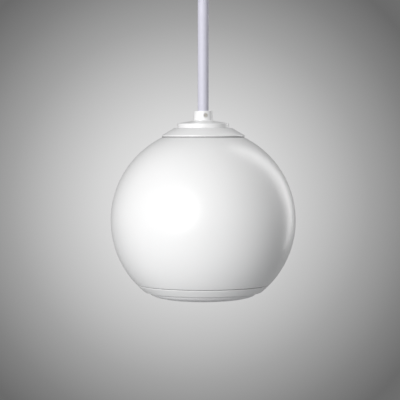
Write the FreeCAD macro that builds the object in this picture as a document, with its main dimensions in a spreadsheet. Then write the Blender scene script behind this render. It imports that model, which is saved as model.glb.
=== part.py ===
import FreeCAD, Part
import math
import os
import re

import Sketcher

# A pendant loudspeaker: a spun metal ball with a small full range driver in its open underside, hung on
# its round cable from a fitting on the ceiling. The origin is the middle of the face that meets the
# ceiling, +Z is up and the front, where the set screw shows, is -Y.

# Driving sizes in millimetres, or degrees for angles.
sizes = {
    # ball
    "ball_radius": 63.5,
    "shell_wall": 1.2,
    "top_hole_radius": 15.0,
    "mouth_margin": 3.724,
    # clearances
    "seat_gap": 0.05,
    "cable_gap": 0.1,
    "stem_gap": 0.3,
    "rim_gap": 0.15,
    "lip_gap": 0.3,
    "dome_gap": 0.3,
    "soft_edge": 0.3,
    # cable and its grips
    "cable_run": 79.5,
    "cable_radius": 3.75,
    "cable_tail": 2.0,
    "ferrule_radius": 5.5,
    "ferrule_length": 8.0,
    "wire_radius": 1.0,
    "wire_spread": 1.3,
    "collar_radius": 6.5,
    "screw_radius": 1.5,
    "socket_flats": 1.5,
    "socket_depth": 1.3,
    "set_screw_recess": 0.2,
    # cap and flange on top of the ball
    "cap_radius": 17.6,
    "cap_wall": 3.0,
    "cap_rise": 2.1,
    "collar_height": 6.6,
    "set_screw_drop": 3.0,
    "set_screw_angle": 16.0,
    "stem_radius": 8.0,
    "stem_length": 17.3,
    "flange_wall": 1.2,
    "flange_lift": 0.4,
    "flange_top_radius": 19.8,
    "flange_radius": 28.5,
    "flange_rim": 0.9,
    "flange_lap": 4.0,
    "gasket_thick": 0.5,
    "gasket_inset": 0.35,
    "washer_radius": 24.0,
    "washer_flat_radius": 16.0,
    "washer_wall": 1.5,
    "lock_washer_radius": 13.5,
    "lock_washer_thick": 1.2,
    "nut_flats": 24.0,
    "nut_height": 6.0,
    # wadding
    "wadding_gap": 0.3,
    "wadding_thick": 10.0,
    "wadding_low": -5.0,
    "wadding_opening": 20.0,
    # driver frame
    "driver_gasket_thick": 0.6,
    "frame_radius": 42.3,
    "frame_flange": 1.6,
    "frame_wall": 1.2,
    "flange_width": 5.1,
    "waist_radius": 26.5,
    "landing_depth": 2.95,
    "landing_width": 3.2,
    "spider_rise": 14.5,
    "shelf_radius": 22.5,
    "ring_rise": 5.0,
    "ring_radius": 24.9,
    "ring_hole_radius": 12.0,
    "window_angle": 44.0,
    "window_sill": 1.0,
    "spoke_count": 6,
    "screw_inset": 2.4,
    "driver_screw_count": 4,
    "driver_screw_radius": 1.25,
    "driver_head_radius": 2.1,
    "driver_head_height": 1.0,
    "driver_screw_length": 5.0,
    "clinch_radius": 2.3,
    "clinch_height": 2.0,
    # magnet system
    "plate_radius": 24.0,
    "plate_thick": 4.0,
    "magnet_radius": 28.0,
    "magnet_thick": 12.0,
    "magnet_bore": 12.0,
    "yoke_radius": 26.0,
    "yoke_thick": 4.5,
    "pole_radius": 9.55,
    "pole_proud": 0.4,
    "vent_radius": 3.0,
    "air_gap": 0.4,
    "rivet_count": 4,
    "rivet_ring": 18.5,
    "rivet_radius": 1.5,
    "rivet_head_radius": 2.6,
    "rivet_head": 0.7,
    "rivet_reach": 3.0,
    # moving parts
    "former_wall": 0.25,
    "former_length": 16.0,
    "coil_wall": 0.35,
    "coil_length": 7.0,
    "cone_lip": 1.8,
    "cone_depth": 10.5,
    "paper": 0.4,
    "neck_collar": 1.2,
    "neck_glue": 0.1,
    "dust_cap_radius": 12.4,
    "dust_cap_rise": 4.1,
    "roll_wall": 0.5,
    "roll_span": 5.4,
    "roll_half": 2.35,
    "roll_radius": 2.5,
    "spider_wall": 0.5,
    "spider_edge": 24.5,
    "wave_start": 12.5,
    "wave_pitch": 1.6,
    "wave_rise": 0.5,
    "wave_count": 6,
    # terminals
    "ear_width": 8.0,
    "ear_reach": 34.0,
    "strip_rivet_radius": 1.0,
    "strip_rivet_reach": 30.5,
    "strip_rivet_head": 0.6,
    "strip_width": 20.0,
    "strip_thick": 1.2,
    "strip_inner": 25.4,
    "strip_outer": 35.0,
    "tab_spread": 7.0,
    "tab_reach": 31.0,
    "tab_width": 2.8,
    "tab_thick": 0.5,
    "tab_height": 7.0,
    "tab_foot": 0.8,
    "sleeve_wall": 0.6,
    "sleeve_height": 8.0,
    "sleeve_lift": 1.0,
    "sleeve_top": 1.9,
    "braid_radius": 0.5,
    "braid_root": 15.4,
    "lead_drop": 9.0,
    "lead_reach": 20.0,
    "lead_lift": 2.0,
    # grille and bezel
    "seam": 0.5,
    "bezel_wall": 0.94,
    "bezel_edge": 0.5,
    "bezel_ledge": 1.3,
    "grille_inset": 3.1,
    "grille_lap": 2.5,
    "grille_wall": 0.8,
    "grille_rise": 6.5,
    "grille_hole_flats": 4.2,
    "grille_border": 3.4,
    "grille_rings": 5,
    # ceiling fitting
    "cup_radius": 40.0,
    "cup_depth": 34.0,
    "cup_wall": 1.2,
    "cup_edge": 3.0,
    "grip_flange_radius": 11.0,
    "grip_flange": 2.0,
    "grip_collar": 7.0,
    "grip_stem_radius": 5.5,
    "grip_stem_length": 12.0,
    "grip_nut_flats": 17.0,
    "grip_nut_height": 5.0,
    "ceiling_plate_radius": 35.0,
    "ceiling_plate_thick": 2.0,
    "supply_hole_radius": 9.0,
    "mount_spacing": 60.0,
    "mount_hole_radius": 2.25,
    "ceiling_ear_reach": 38.0,
    "ceiling_ear_drop": 14.0,
    "ceiling_ear_width": 12.0,
    "ceiling_ear_bend": 2.5,
    "cup_screw_drop": 8.0,
    "cup_screw_head_radius": 3.0,
    "cup_screw_head": 1.8,
    "cup_screw_length": 7.0,
    "block_start": 11.2,
    "block_length": 14.0,
    "block_width": 18.0,
    "block_height": 9.0,
    "pole_spread": 4.5,
    "wire_entry": 1.8,
    "block_screw_radius": 1.4,
    "block_screw_sink": 1.0,
}

# Places worked out from the sizes. Heights named with _z are measured from the ball's centre.
places = {
    "inner_radius": "ball_radius - shell_wall",
    "hole_edge_z": "sqrt(ball_radius^2 - top_hole_radius^2)",
    "cap_z": "hole_edge_z + flange_lift + flange_wall",
    "cap_top_z": "cap_z + cap_wall",
    "collar_z": "cap_top_z + cap_rise",
    "collar_top_z": "collar_z + collar_height",
    "stem_low_z": "cap_z - stem_length",
    "ball_drop": "collar_top_z + cable_run + grip_collar + grip_flange + cup_depth",
    "gasket_radius": "ball_radius + gasket_thick",
    "rim_low_z": "sqrt(gasket_radius^2 - flange_radius^2)",
    "flange_under_z": "cap_z - flange_wall",
    "lap_radius": "flange_radius - flange_lap",
    "washer_out_radius": "inner_radius - seat_gap",
    "washer_in_radius": "washer_out_radius - washer_wall",
    "washer_low_z": "sqrt(washer_in_radius^2 - washer_flat_radius^2)",
    "nut_top_z": "washer_low_z - lock_washer_thick",
    "cable_low_z": "stem_low_z - ferrule_length - cable_tail",
    "mouth_radius": "frame_radius + mouth_margin",
    "mouth_z": "-sqrt(ball_radius^2 - mouth_radius^2)",
    "flange_back_z": "mouth_z - driver_gasket_thick",
    "flange_front_z": "flange_back_z - frame_flange",
    "landing_z": "flange_front_z + landing_depth",
    "neck_radius": "frame_radius - flange_width",
    "lip_hole_radius": "neck_radius + lip_gap",
    "screw_ring": "frame_radius - screw_inset",
    "throat_radius": "neck_radius - frame_wall",
    "landing_radius": "neck_radius - landing_width",
    "landing_back_z": "landing_z + frame_wall",
    "shelf_z": "landing_z + spider_rise",
    "shelf_back_z": "shelf_z + frame_wall",
    "cone_lean": "(neck_radius - waist_radius) / (shelf_back_z - landing_back_z)",
    "cone_skin": "frame_wall * sqrt(1 + cone_lean^2)",
    "ring_z": "shelf_z + ring_rise",
    "plate_z": "ring_z + plate_thick",
    "magnet_z": "plate_z + magnet_thick",
    "yoke_z": "magnet_z + yoke_thick",
    "coil_z": "ring_z + plate_thick / 2 - coil_length / 2",
    "neck_z": "landing_z + cone_depth",
    "former_radius": "pole_radius + air_gap",
    "coil_radius": "former_radius + former_wall + coil_wall",
    "gap_radius": "coil_radius + air_gap",
    "neck_bore": "former_radius + former_wall + neck_glue",
    "cone_radius": "landing_radius - roll_span",
    "cone_lip_radius": "cone_radius - cone_lip",
    "cone_slope": "(cone_depth - paper) / (cone_lip_radius - neck_bore)",
    "dust_cap_z": "neck_z - paper - (dust_cap_radius - neck_bore) * cone_slope - neck_glue",
    "braid_root_z": "neck_z - (braid_root - neck_bore - paper) * cone_slope + braid_radius",
    "roll_middle": "(cone_radius + landing_radius) / 2",
    "roll_centre": "sqrt(roll_radius^2 - roll_half^2)",
    "roll_foot": "sqrt((roll_radius + roll_wall)^2 - (roll_centre + roll_wall)^2)",
    "bezel_top_z": "mouth_z - seam",
    "grille_rim_radius": "frame_radius - grille_inset",
    "bezel_low_radius": "grille_rim_radius + bezel_wall",
    "bezel_low_z": "-sqrt(ball_radius^2 - bezel_low_radius^2)",
    "ledge_z": "bezel_low_z + bezel_ledge",
    "bezel_opening": "grille_rim_radius - grille_lap",
    "bezel_pocket": "grille_rim_radius + rim_gap",
    "grille_dome_radius": "bezel_opening - dome_gap",
    "grille_pitch": "(grille_dome_radius - grille_border) / grille_rings",
    "grille_curve": "(grille_dome_radius^2 + grille_rise^2) / (2 * grille_rise)",
    "grille_inner_curve": "grille_curve - grille_wall",
    "grille_centre_z": "bezel_low_z - grille_rise + grille_curve",
    "strip_z": "shelf_back_z",
    "strip_top_z": "strip_z + strip_thick",
    "sleeve_top_z": "strip_top_z + sleeve_lift + sleeve_height",
    "lead_low_z": "cable_low_z - lead_drop",
    "block_wire_z": "-ceiling_plate_thick - block_height / 2",
    "grip_low": "-cup_depth - grip_flange - grip_collar",
    "grip_top": "-cup_depth + grip_stem_length",
    "cable_high": "grip_top + ferrule_length + cable_tail",
}

doc = FreeCAD.newDocument("PendantSpeaker")


def words(text):
    """A formula in which each word of the two sheets is given its sheet's name."""
    owner = {**dict.fromkeys(sizes, "Sizes."), **dict.fromkeys(places, "Places.")}
    return re.sub(r"[a-z]+(?:_[a-z]+)*", lambda found: owner.get(found[0], "") + found[0], str(text))


def fill(label, rows):
    """A sheet with one named cell in each row."""
    sheet = doc.addObject("Spreadsheet::Sheet", label)
    for row, (name, content) in enumerate(rows, 1):
        sheet.set(f"A{row}", name)
        sheet.set(f"B{row}", content)
        sheet.setAlias(f"B{row}", name)
    doc.recompute()
    return sheet


size_sheet = fill("Sizes", [(name, str(number)) for name, number in sizes.items()])
place_sheet = fill("Places", [(name, "=" + words(formula)) for name, formula in places.items()])


def value(text):
    return float(place_sheet.evalExpression(words(text)))


def value_count(name):
    return round(value(name))


def hang(thing, hung, turn="0"):
    """Places a piece: hung pieces are drawn about the ball's centre, the others about the ceiling face."""
    thing.setExpression("Placement.Base.z", words("-ball_drop" if hung else "0"))
    thing.setExpression("Placement.Rotation.Angle", words(turn))
    return thing


def make_body(label, hung=True, turn="0"):
    body = doc.addObject("PartDesign::Body", label)
    body.Label = label
    body.AllowCompound = True
    body.Placement = FreeCAD.Placement(FreeCAD.Vector(), FreeCAD.Rotation(FreeCAD.Vector(0, 0, 1), 0))
    return hang(body, hung, turn)


def origin(body, role):
    return next(item for item in body.Origin.OriginFeatures if item.Role == role)


def make_sketch(body, plane, across="0", up="0", out="0"):
    """A sketch on one of the body's own planes, moved within that plane and out of it."""
    sketch = body.newObject("Sketcher::SketchObject", f"{body.Label}_sketch")
    sketch.AttachmentSupport = [(origin(body, plane), "")]
    sketch.MapMode = "FlatFace"
    for axis, shift in zip("xyz", (across, up, out)):
        sketch.setExpression(f"AttachmentOffset.Base.{axis}", words(shift))
    return sketch


def bind(sketch, kind, items, formula):
    """A dimension of the sketch that follows a formula."""
    number = sketch.addConstraint(Sketcher.Constraint(kind, *items, value(formula)))
    sketch.setExpression(f"Constraints[{number}]", words(formula))


def locate(sketch, edge, end, across, up):
    for text, kind, axis in ((across, "DistanceX", -2), (up, "DistanceY", -1)):
        if text == "0":
            sketch.addConstraint(Sketcher.Constraint("PointOnObject", edge, end, axis))
        else:
            bind(sketch, kind, (-1, 1, edge, end), text)


def arc_between(start, end, radius, side):
    """The smaller arc between two points; side 1 bulges to the left of the way from start to end."""
    chord = end - start
    left = FreeCAD.Vector(-chord.y, chord.x, 0).normalize() * side
    rise = radius - math.sqrt(max(radius**2 - (chord.Length / 2) ** 2, 0))
    return Part.Arc(start, (start + end) / 2 + left * rise, end)


def draw(sketch, corners):
    """A closed outline through corners (across, up). A corner (across, up, radius, side) is reached on an
    arc instead of a line."""
    spots = [FreeCAD.Vector(value(corner[0]), value(corner[1]), 0) for corner in corners]
    ends = []
    for number, corner in enumerate(corners):
        start, end = spots[number - 1], spots[number]
        if len(corner) == 2:
            edge = sketch.addGeometry(Part.LineSegment(start, end))
        else:
            edge = sketch.addGeometry(arc_between(start, end, value(corner[2]), corner[3]))
        near, far = (sketch.getPoint(edge, end).distanceToPoint(start) for end in (1, 2))
        ends.append((edge, 1, 2) if near < far else (edge, 2, 1))
    for number, corner in enumerate(corners):
        edge, first, last = ends[number]
        before = ends[number - 1]
        sketch.addConstraint(Sketcher.Constraint("Coincident", before[0], before[2], edge, first))
        locate(sketch, edge, last, corner[0], corner[1])
        if len(corner) > 2:
            bind(sketch, "Radius", (edge,), corner[2])


def draw_circle(sketch, radius, across="0", up="0"):
    spot = FreeCAD.Vector(value(across), value(up), 0)
    edge = sketch.addGeometry(Part.Circle(spot, FreeCAD.Vector(0, 0, 1), value(radius)))
    bind(sketch, "Radius", (edge,), radius)
    if (across, up) == ("0", "0"):
        sketch.addConstraint(Sketcher.Constraint("Coincident", edge, 3, -1, 1))
    else:
        locate(sketch, edge, 3, across, up)


def hexagon(flats):
    return [(f"({flats}) / 2 / cos(30) * cos({60 * n})", f"({flats}) / 2 / cos(30) * sin({60 * n})")
            if n % 3 else (f"({flats}) / 2 / cos(30) * cos({60 * n})", "0") for n in range(6)]


def rectangle(left, low, right, high):
    return [(left, low), (right, low), (right, high), (left, high)]


def turn_round(body, corners, plane="XZ_Plane", axis="V_Axis", kind="Revolution", **shift):
    """Turns an outline a full round about its sketch's own axis, to add material or cut it away."""
    sketch = make_sketch(body, plane, **shift)
    draw(sketch, corners)
    feature = body.newObject(f"PartDesign::{kind}", f"{body.Label}_{kind.lower()}")
    feature.Profile = sketch
    feature.ReferenceAxis = (sketch, [axis])
    feature.Angle = 360
    sketch.Visibility = False
    return feature


def turned(label, corners, hung=True, turn="0"):
    body = make_body(label, hung, turn)
    turn_round(body, corners)
    return body


def raise_from(body, sketch, kind, length=None, reverse=False, both=False):
    """Pads or pockets a sketch; a pocket with no length goes through everything."""
    feature = body.newObject(f"PartDesign::{kind}", f"{body.Label}_{kind.lower()}")
    feature.Profile = sketch
    feature.Reversed = reverse
    feature.Midplane = both
    if length is None:
        feature.Type = "ThroughAll"
    else:
        feature.setExpression("Length", words(length))
    sketch.Visibility = False
    return feature


def repeat_round(body, features, count):
    pattern = body.newObject("PartDesign::PolarPattern", f"{body.Label}_pattern")
    pattern.Originals = features
    pattern.Axis = (origin(body, "Z_Axis"), [""])
    pattern.Angle = 360
    pattern.setExpression("Occurrences", words(count))
    body.Tip = pattern
    return pattern


def mirror(body, features, plane):
    copy = body.newObject("PartDesign::Mirrored", f"{body.Label}_mirror")
    copy.Originals = features
    copy.MirrorPlane = (origin(body, plane), [""])
    body.Tip = copy
    return copy


def on_sphere(radius, across):
    return f"sqrt(({radius})^2 - ({across})^2)"


def shell_band(label, inner, outer, near, far):
    """A band of a spherical shell between two distances from the axis."""
    return turned(label, [
        (near, on_sphere(outer, near), outer, -1), (near, on_sphere(inner, near)),
        (far, on_sphere(inner, far), inner, 1), (far, on_sphere(outer, far)),
    ])


def ring(label, inner, outer, low, high, hung=True):
    return turned(label, rectangle(inner, low, outer, high), hung)


def edges_at(body, *spots):
    """Names of the round edges about the body's axis that pass through the given (radius, height)."""
    names = []
    for across, up in spots:
        height = value(up) + body.Placement.Base.z
        for number, edge in enumerate(body.Shape.Edges, 1):
            curve = edge.Curve
            if isinstance(curve, Part.Circle) and math.hypot(curve.Center.x, curve.Center.y) < 1e-6 \
                    and abs(curve.Center.z - height) < 1e-4 and abs(curve.Radius - value(across)) < 1e-4:
                names.append(f"Edge{number}")
    return names


def break_edges(body, size, *spots):
    """Chamfers round edges of the body as it is so far."""
    doc.recompute()
    tip = body.Tip
    chamfer = body.newObject("PartDesign::Chamfer", f"{body.Label}_chamfer")
    chamfer.Base = (tip, edges_at(body, *spots))
    chamfer.setExpression("Size", words(size))


def drill_ring(body, radius, spread, start, depth, count):
    """Round holes about the axis, cut upwards from a height."""
    sketch = make_sketch(body, "XY_Plane", out=start)
    draw_circle(sketch, radius, across=spread)
    hole = raise_from(body, sketch, "Pocket", depth, reverse=True)
    repeat_round(body, [hole], count)


def cut_collar_hole(body, height):
    """A threaded hole for a set screw, from the front of a collar to its bore."""
    sketch = make_sketch(body, "XZ_Plane", up=height, out="2 * collar_radius")
    draw_circle(sketch, "screw_radius + seat_gap")
    raise_from(body, sketch, "Pocket", "2 * collar_radius")


def make_collar_screw(label, height, hung, turn):
    """A grub screw with a hexagon socket, its tip on the cable."""
    body = make_body(label, hung, turn)
    shank = make_sketch(body, "XZ_Plane", up=height, out="cable_radius")
    draw_circle(shank, "screw_radius")
    raise_from(body, shank, "Pad", "collar_radius - set_screw_recess - cable_radius")
    socket = make_sketch(body, "XZ_Plane", up=height, out="collar_radius - set_screw_recess")
    draw(socket, hexagon("socket_flats"))
    raise_from(body, socket, "Pocket", "socket_depth")


def make_nut(label, flats, bore, low, height, hung=True):
    body = make_body(label, hung)
    sketch = make_sketch(body, "XY_Plane", out=low)
    draw(sketch, hexagon(flats))
    draw_circle(sketch, bore)
    raise_from(body, sketch, "Pad", height)


def wire_along(label, radius, route, hung=True):
    """A round wire along straight runs joined by arcs, each as large as its two runs allow."""
    spots = [FreeCAD.Vector(*(value(item) for item in spot)) for spot in route]
    edges, reached, bends = [], spots[0], []
    for before, spot, after in zip(spots, spots[1:], spots[2:]):
        back, on = before - spot, after - spot
        half_turn = (math.pi - back.getAngle(on)) / 2
        reach = 0.45 * min(back.Length, on.Length)
        bends.append(reach / math.tan(half_turn))
        back.normalize()
        on.normalize()
        middle = spot + (back + on).normalize() * bends[-1] * (1 / math.cos(half_turn) - 1)
        edges.append(Part.LineSegment(reached, spot + back * reach).toShape())
        edges.append(Part.Arc(spot + back * reach, middle, spot + on * reach).toShape())
        reached = spot + on * reach
    edges.append(Part.LineSegment(reached, spots[-1]).toShape())
    path = Part.Wire(edges)
    thickness = value(radius)
    section = Part.Wire(Part.Circle(spots[0], spots[1] - spots[0], thickness).toShape())
    thing = doc.addObject("Part::Feature", label)
    thing.Shape = path.makePipeShell([section], True, False)
    hang(thing, hung)
    share = thing.Shape.Volume / (math.pi * thickness**2 * path.Length)
    print(f"{label}: {path.Length:.1f} mm, volume share {share:.4f}, bends {[round(b, 1) for b in bends]} mm")


# The spun ball. Its lower edge is turned in as a flat lip, which carries the driver.

def make_ball_shell():
    lip_z = "mouth_z + shell_wall"
    body = turned("ball_shell", [
        ("top_hole_radius", "hole_edge_z", "ball_radius", -1),
        ("top_hole_radius", on_sphere("inner_radius", "top_hole_radius")),
        (on_sphere("inner_radius", lip_z), lip_z, "inner_radius", 1),
        ("lip_hole_radius", lip_z), ("lip_hole_radius", "mouth_z"),
        (on_sphere("ball_radius", "mouth_z"), "mouth_z"),
    ])
    drill_ring(body, "driver_screw_radius + seat_gap", "screw_ring", "mouth_z - shell_wall / 2",
               "2 * shell_wall", "driver_screw_count")


def make_clinch_nuts():
    body = make_body("clinch_nuts")
    low = "mouth_z + shell_wall"
    nut = turn_round(body, rectangle("driver_screw_radius + seat_gap", low, "clinch_radius",
                                     f"{low} + clinch_height"), across="screw_ring")
    repeat_round(body, [nut], "driver_screw_count")


def make_wadding():
    outer = "inner_radius - wadding_gap"
    inner = f"{outer} - wadding_thick"
    high = on_sphere(inner, "wadding_opening")
    turned("wadding", [
        (on_sphere(inner, "wadding_low"), "wadding_low", inner, 1),
        (on_sphere(outer, "wadding_low"), "wadding_low"),
        (on_sphere(outer, high), high, outer, -1), ("wadding_opening", high),
    ])


# Parts on top of the ball. A turned cap has a threaded stem, which clamps the flange, the ball and a
# dished washer together, and a collar, which grips the cable with a set screw.

def make_cable_cap():
    bore = "cable_radius + cable_gap"
    body = turned("cable_cap", [
        (bore, "stem_low_z"), ("stem_radius", "stem_low_z"), ("stem_radius", "cap_z"),
        ("cap_radius", "cap_z"), ("cap_radius", "cap_top_z"), ("collar_radius", "collar_z"),
        ("collar_radius", "collar_top_z"), (bore, "collar_top_z"),
    ], turn="set_screw_angle")
    break_edges(body, "soft_edge", ("cap_radius", "cap_top_z"), ("collar_radius", "collar_top_z"))
    cut_collar_hole(body, "collar_top_z - set_screw_drop")


def make_top_cone():
    hole = "stem_radius + stem_gap"
    turned("top_cone", [
        (hole, "flange_under_z"), ("flange_top_radius - flange_wall / 2", "flange_under_z"),
        ("lap_radius", on_sphere("gasket_radius", "lap_radius")),
        ("flange_radius", "rim_low_z", "gasket_radius", 1),
        ("flange_radius", "rim_low_z + flange_rim"), ("flange_top_radius", "cap_z"), (hole, "cap_z"),
    ])


def make_spread_washer():
    hole = "stem_radius + stem_gap"
    flat, rim = "washer_flat_radius", "washer_radius"
    turned("spread_washer", [
        (hole, "washer_low_z"), (flat, "washer_low_z"),
        (rim, on_sphere("washer_in_radius", rim), "washer_in_radius", 1),
        (rim, on_sphere("washer_out_radius", rim)),
        (flat, on_sphere("washer_out_radius", flat), "washer_out_radius", -1),
        (hole, on_sphere("washer_out_radius", flat)),
    ])


def make_top_parts():
    make_cable_cap()
    make_collar_screw("set_screw", "collar_top_z - set_screw_drop", True, "set_screw_angle")
    make_top_cone()
    shell_band("cone_gasket", "ball_radius + seat_gap", "gasket_radius - seat_gap",
               "lap_radius + gasket_inset", "flange_radius - gasket_inset")
    make_spread_washer()
    ring("lock_washer", "stem_radius + stem_gap", "lock_washer_radius", "nut_top_z", "washer_low_z")
    make_nut("stem_nut", "nut_flats", "stem_radius + seat_gap", "nut_top_z - nut_height", "nut_height")
    ring("cable_ferrule", "cable_radius + seat_gap", "ferrule_radius", "stem_low_z - ferrule_length",
         "stem_low_z")


# The driver's frame: a windowed casting whose flange is screwed up against the ball's lip.

def make_basket():
    ring_front = "ring_z - frame_wall"
    body = turned("basket", [
        ("frame_radius", "flange_front_z"), ("frame_radius", "flange_back_z"),
        ("neck_radius", "flange_back_z"), ("neck_radius", "landing_back_z"),
        ("waist_radius", "shelf_back_z"), ("ring_radius", "shelf_back_z"), ("ring_radius", "ring_z"),
        ("ring_hole_radius", "ring_z"), ("ring_hole_radius", ring_front),
        ("ring_radius - frame_wall", ring_front), ("ring_radius - frame_wall", "shelf_back_z"),
        ("shelf_radius", "shelf_back_z"), ("shelf_radius", "shelf_z"),
        ("waist_radius + cone_lean * frame_wall - cone_skin", "shelf_z"),
        ("neck_radius - cone_skin", "landing_back_z"), ("landing_radius", "landing_back_z"),
        ("landing_radius", "landing_z"), ("throat_radius", "landing_z"),
        ("throat_radius", "flange_front_z"),
    ])
    half, near, far = "window_angle / 2", "ring_radius", "lip_hole_radius"
    window = make_sketch(body, "XY_Plane", out="landing_back_z + window_sill")
    draw(window, [
        (f"{near} * cos({half})", f"-{near} * sin({half})", near, 1),
        (f"{far} * cos({half})", f"-{far} * sin({half})"),
        (f"{far} * cos({half})", f"{far} * sin({half})", far, -1),
        (f"{near} * cos({half})", f"{near} * sin({half})"),
    ])
    height = "shelf_z - landing_back_z - 2 * window_sill"
    repeat_round(body, [raise_from(body, window, "Pocket", height, reverse=True)], "spoke_count")
    ear = make_sketch(body, "XY_Plane", out="shelf_z")
    draw(ear, rectangle("-ear_width / 2", "waist_radius - frame_wall", "ear_width / 2", "ear_reach"))
    raise_from(body, ear, "Pad", "frame_wall")
    rivet = make_sketch(body, "XY_Plane", out="shelf_z - frame_wall")
    draw_circle(rivet, "strip_rivet_radius + seat_gap", up="strip_rivet_reach")
    raise_from(body, rivet, "Pocket", "3 * frame_wall", reverse=True)
    drill_ring(body, "rivet_radius + seat_gap", "rivet_ring", "ring_z - 2 * frame_wall", "3 * frame_wall",
               "rivet_count")
    shank = "driver_screw_radius + seat_gap"
    sink = turn_round(body, [
        ("0", "flange_front_z"), ("driver_head_radius + seat_gap", "flange_front_z"),
        (shank, "flange_front_z + driver_head_height"), (shank, "flange_back_z"), ("0", "flange_back_z"),
    ], kind="Groove", across="screw_ring")
    repeat_round(body, [sink], "driver_screw_count")


def make_driver_screws():
    body = make_body("driver_screws")
    screw = turn_round(body, [
        ("0", "flange_front_z"), ("driver_head_radius", "flange_front_z"),
        ("driver_screw_radius", "flange_front_z + driver_head_height"),
        ("driver_screw_radius", "flange_front_z + driver_screw_length"),
        ("0", "flange_front_z + driver_screw_length"),
    ], across="screw_ring")
    repeat_round(body, [screw], "driver_screw_count")


def make_driver_gasket():
    body = ring("driver_gasket", "lip_hole_radius", "frame_radius", "flange_back_z", "mouth_z")
    drill_ring(body, "driver_screw_radius + rim_gap", "screw_ring", "flange_back_z - driver_gasket_thick",
               "3 * driver_gasket_thick", "driver_screw_count")


# The magnet system, closed by the yoke's pole in the middle of the coil.

def make_magnet_system():
    plate = ring("top_plate", "gap_radius", "plate_radius", "ring_z", "plate_z")
    drill_ring(plate, "rivet_radius + seat_gap", "rivet_ring", "ring_z - rivet_head",
               "rivet_reach + rivet_head", "rivet_count")
    ring("magnet", "magnet_bore", "magnet_radius", "plate_z", "magnet_z")
    turned("yoke", [
        ("vent_radius", "ring_z - pole_proud"), ("pole_radius", "ring_z - pole_proud"),
        ("pole_radius", "magnet_z"), ("yoke_radius", "magnet_z"), ("yoke_radius", "yoke_z"),
        ("vent_radius", "yoke_z"),
    ])
    rivets = make_body("plate_rivets")
    under = "ring_z - frame_wall"
    rivet = turn_round(rivets, [
        ("0", f"{under} - rivet_head"),
        ("rivet_head_radius", under, "(rivet_head_radius^2 + rivet_head^2) / (2 * rivet_head)", -1),
        ("rivet_radius", under), ("rivet_radius", "ring_z + rivet_reach"), ("0", "ring_z + rivet_reach"),
    ], across="rivet_ring")
    repeat_round(rivets, [rivet], "rivet_count")


# The moving parts and the two soft rings that centre them.

def make_cone():
    lip, collar = "cone_lip_radius", "neck_bore + paper"
    turned("cone", [
        ("cone_radius", "landing_z"), ("cone_radius", "landing_z + paper"), (lip, "landing_z + paper"),
        (collar, "neck_z"), (collar, "neck_z + neck_collar"), ("neck_bore", "neck_z + neck_collar"),
        ("neck_bore", "neck_z - paper"), (lip, "landing_z"),
    ])


def dome_radius(across, rise):
    return f"(({across})^2 + ({rise})^2) / (2 * ({rise}))"


def make_dust_cap():
    base, outer = "dust_cap_z", dome_radius("dust_cap_radius", "dust_cap_rise")
    inner, rise = "dust_cap_radius - paper", "dust_cap_rise - paper"
    turned("dust_cap", [
        ("dust_cap_radius", base), ("0", f"{base} - dust_cap_rise", outer, 1),
        ("0", f"{base} - ({rise})"), (inner, base, dome_radius(inner, rise), -1),
    ])


def make_surround():
    low, high, edge = "landing_z - roll_wall", "landing_z", "throat_radius - rim_gap"
    turned("surround", [
        (edge, low), (edge, high), ("roll_middle + roll_half", high),
        ("roll_middle - roll_half", high, "roll_radius", 1), ("cone_lip_radius", high),
        ("cone_lip_radius", low),
        ("roll_middle - roll_foot", low), ("roll_middle + roll_foot", low, "roll_radius + roll_wall", -1),
    ])


def make_spider():
    low, high = "shelf_z - spider_wall", "shelf_z"
    waves = range(value_count("wave_count"))
    last = f"wave_start + {len(waves)} * wave_pitch"
    crests = [(f"wave_start + {n + 0.5} * wave_pitch", "- wave_rise" if n % 2 else "+ wave_rise")
              for n in waves]
    turned("spider", [
        ("neck_bore", low), ("wave_start", low), *((across, f"{low} {swing}") for across, swing in crests),
        (last, low), ("spider_edge", low), ("spider_edge", high), (last, high),
        *((across, f"{high} {swing}") for across, swing in reversed(crests)), ("wave_start", high),
        ("neck_bore", high),
    ])


def make_moving_parts():
    make_cone()
    make_dust_cap()
    ring("coil_former", "former_radius", "former_radius + former_wall", "neck_z", "neck_z + former_length")
    ring("voice_coil", "former_radius + former_wall", "coil_radius", "coil_z", "coil_z + coil_length")
    make_surround()
    make_spider()
    ring("rim_gasket", "landing_radius + rim_gap", "throat_radius - rim_gap", "flange_front_z",
         "landing_z - roll_wall")


# Terminals: a board riveted to the frame's ear, two blades, sleeves pushed on them, and the wires.

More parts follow.
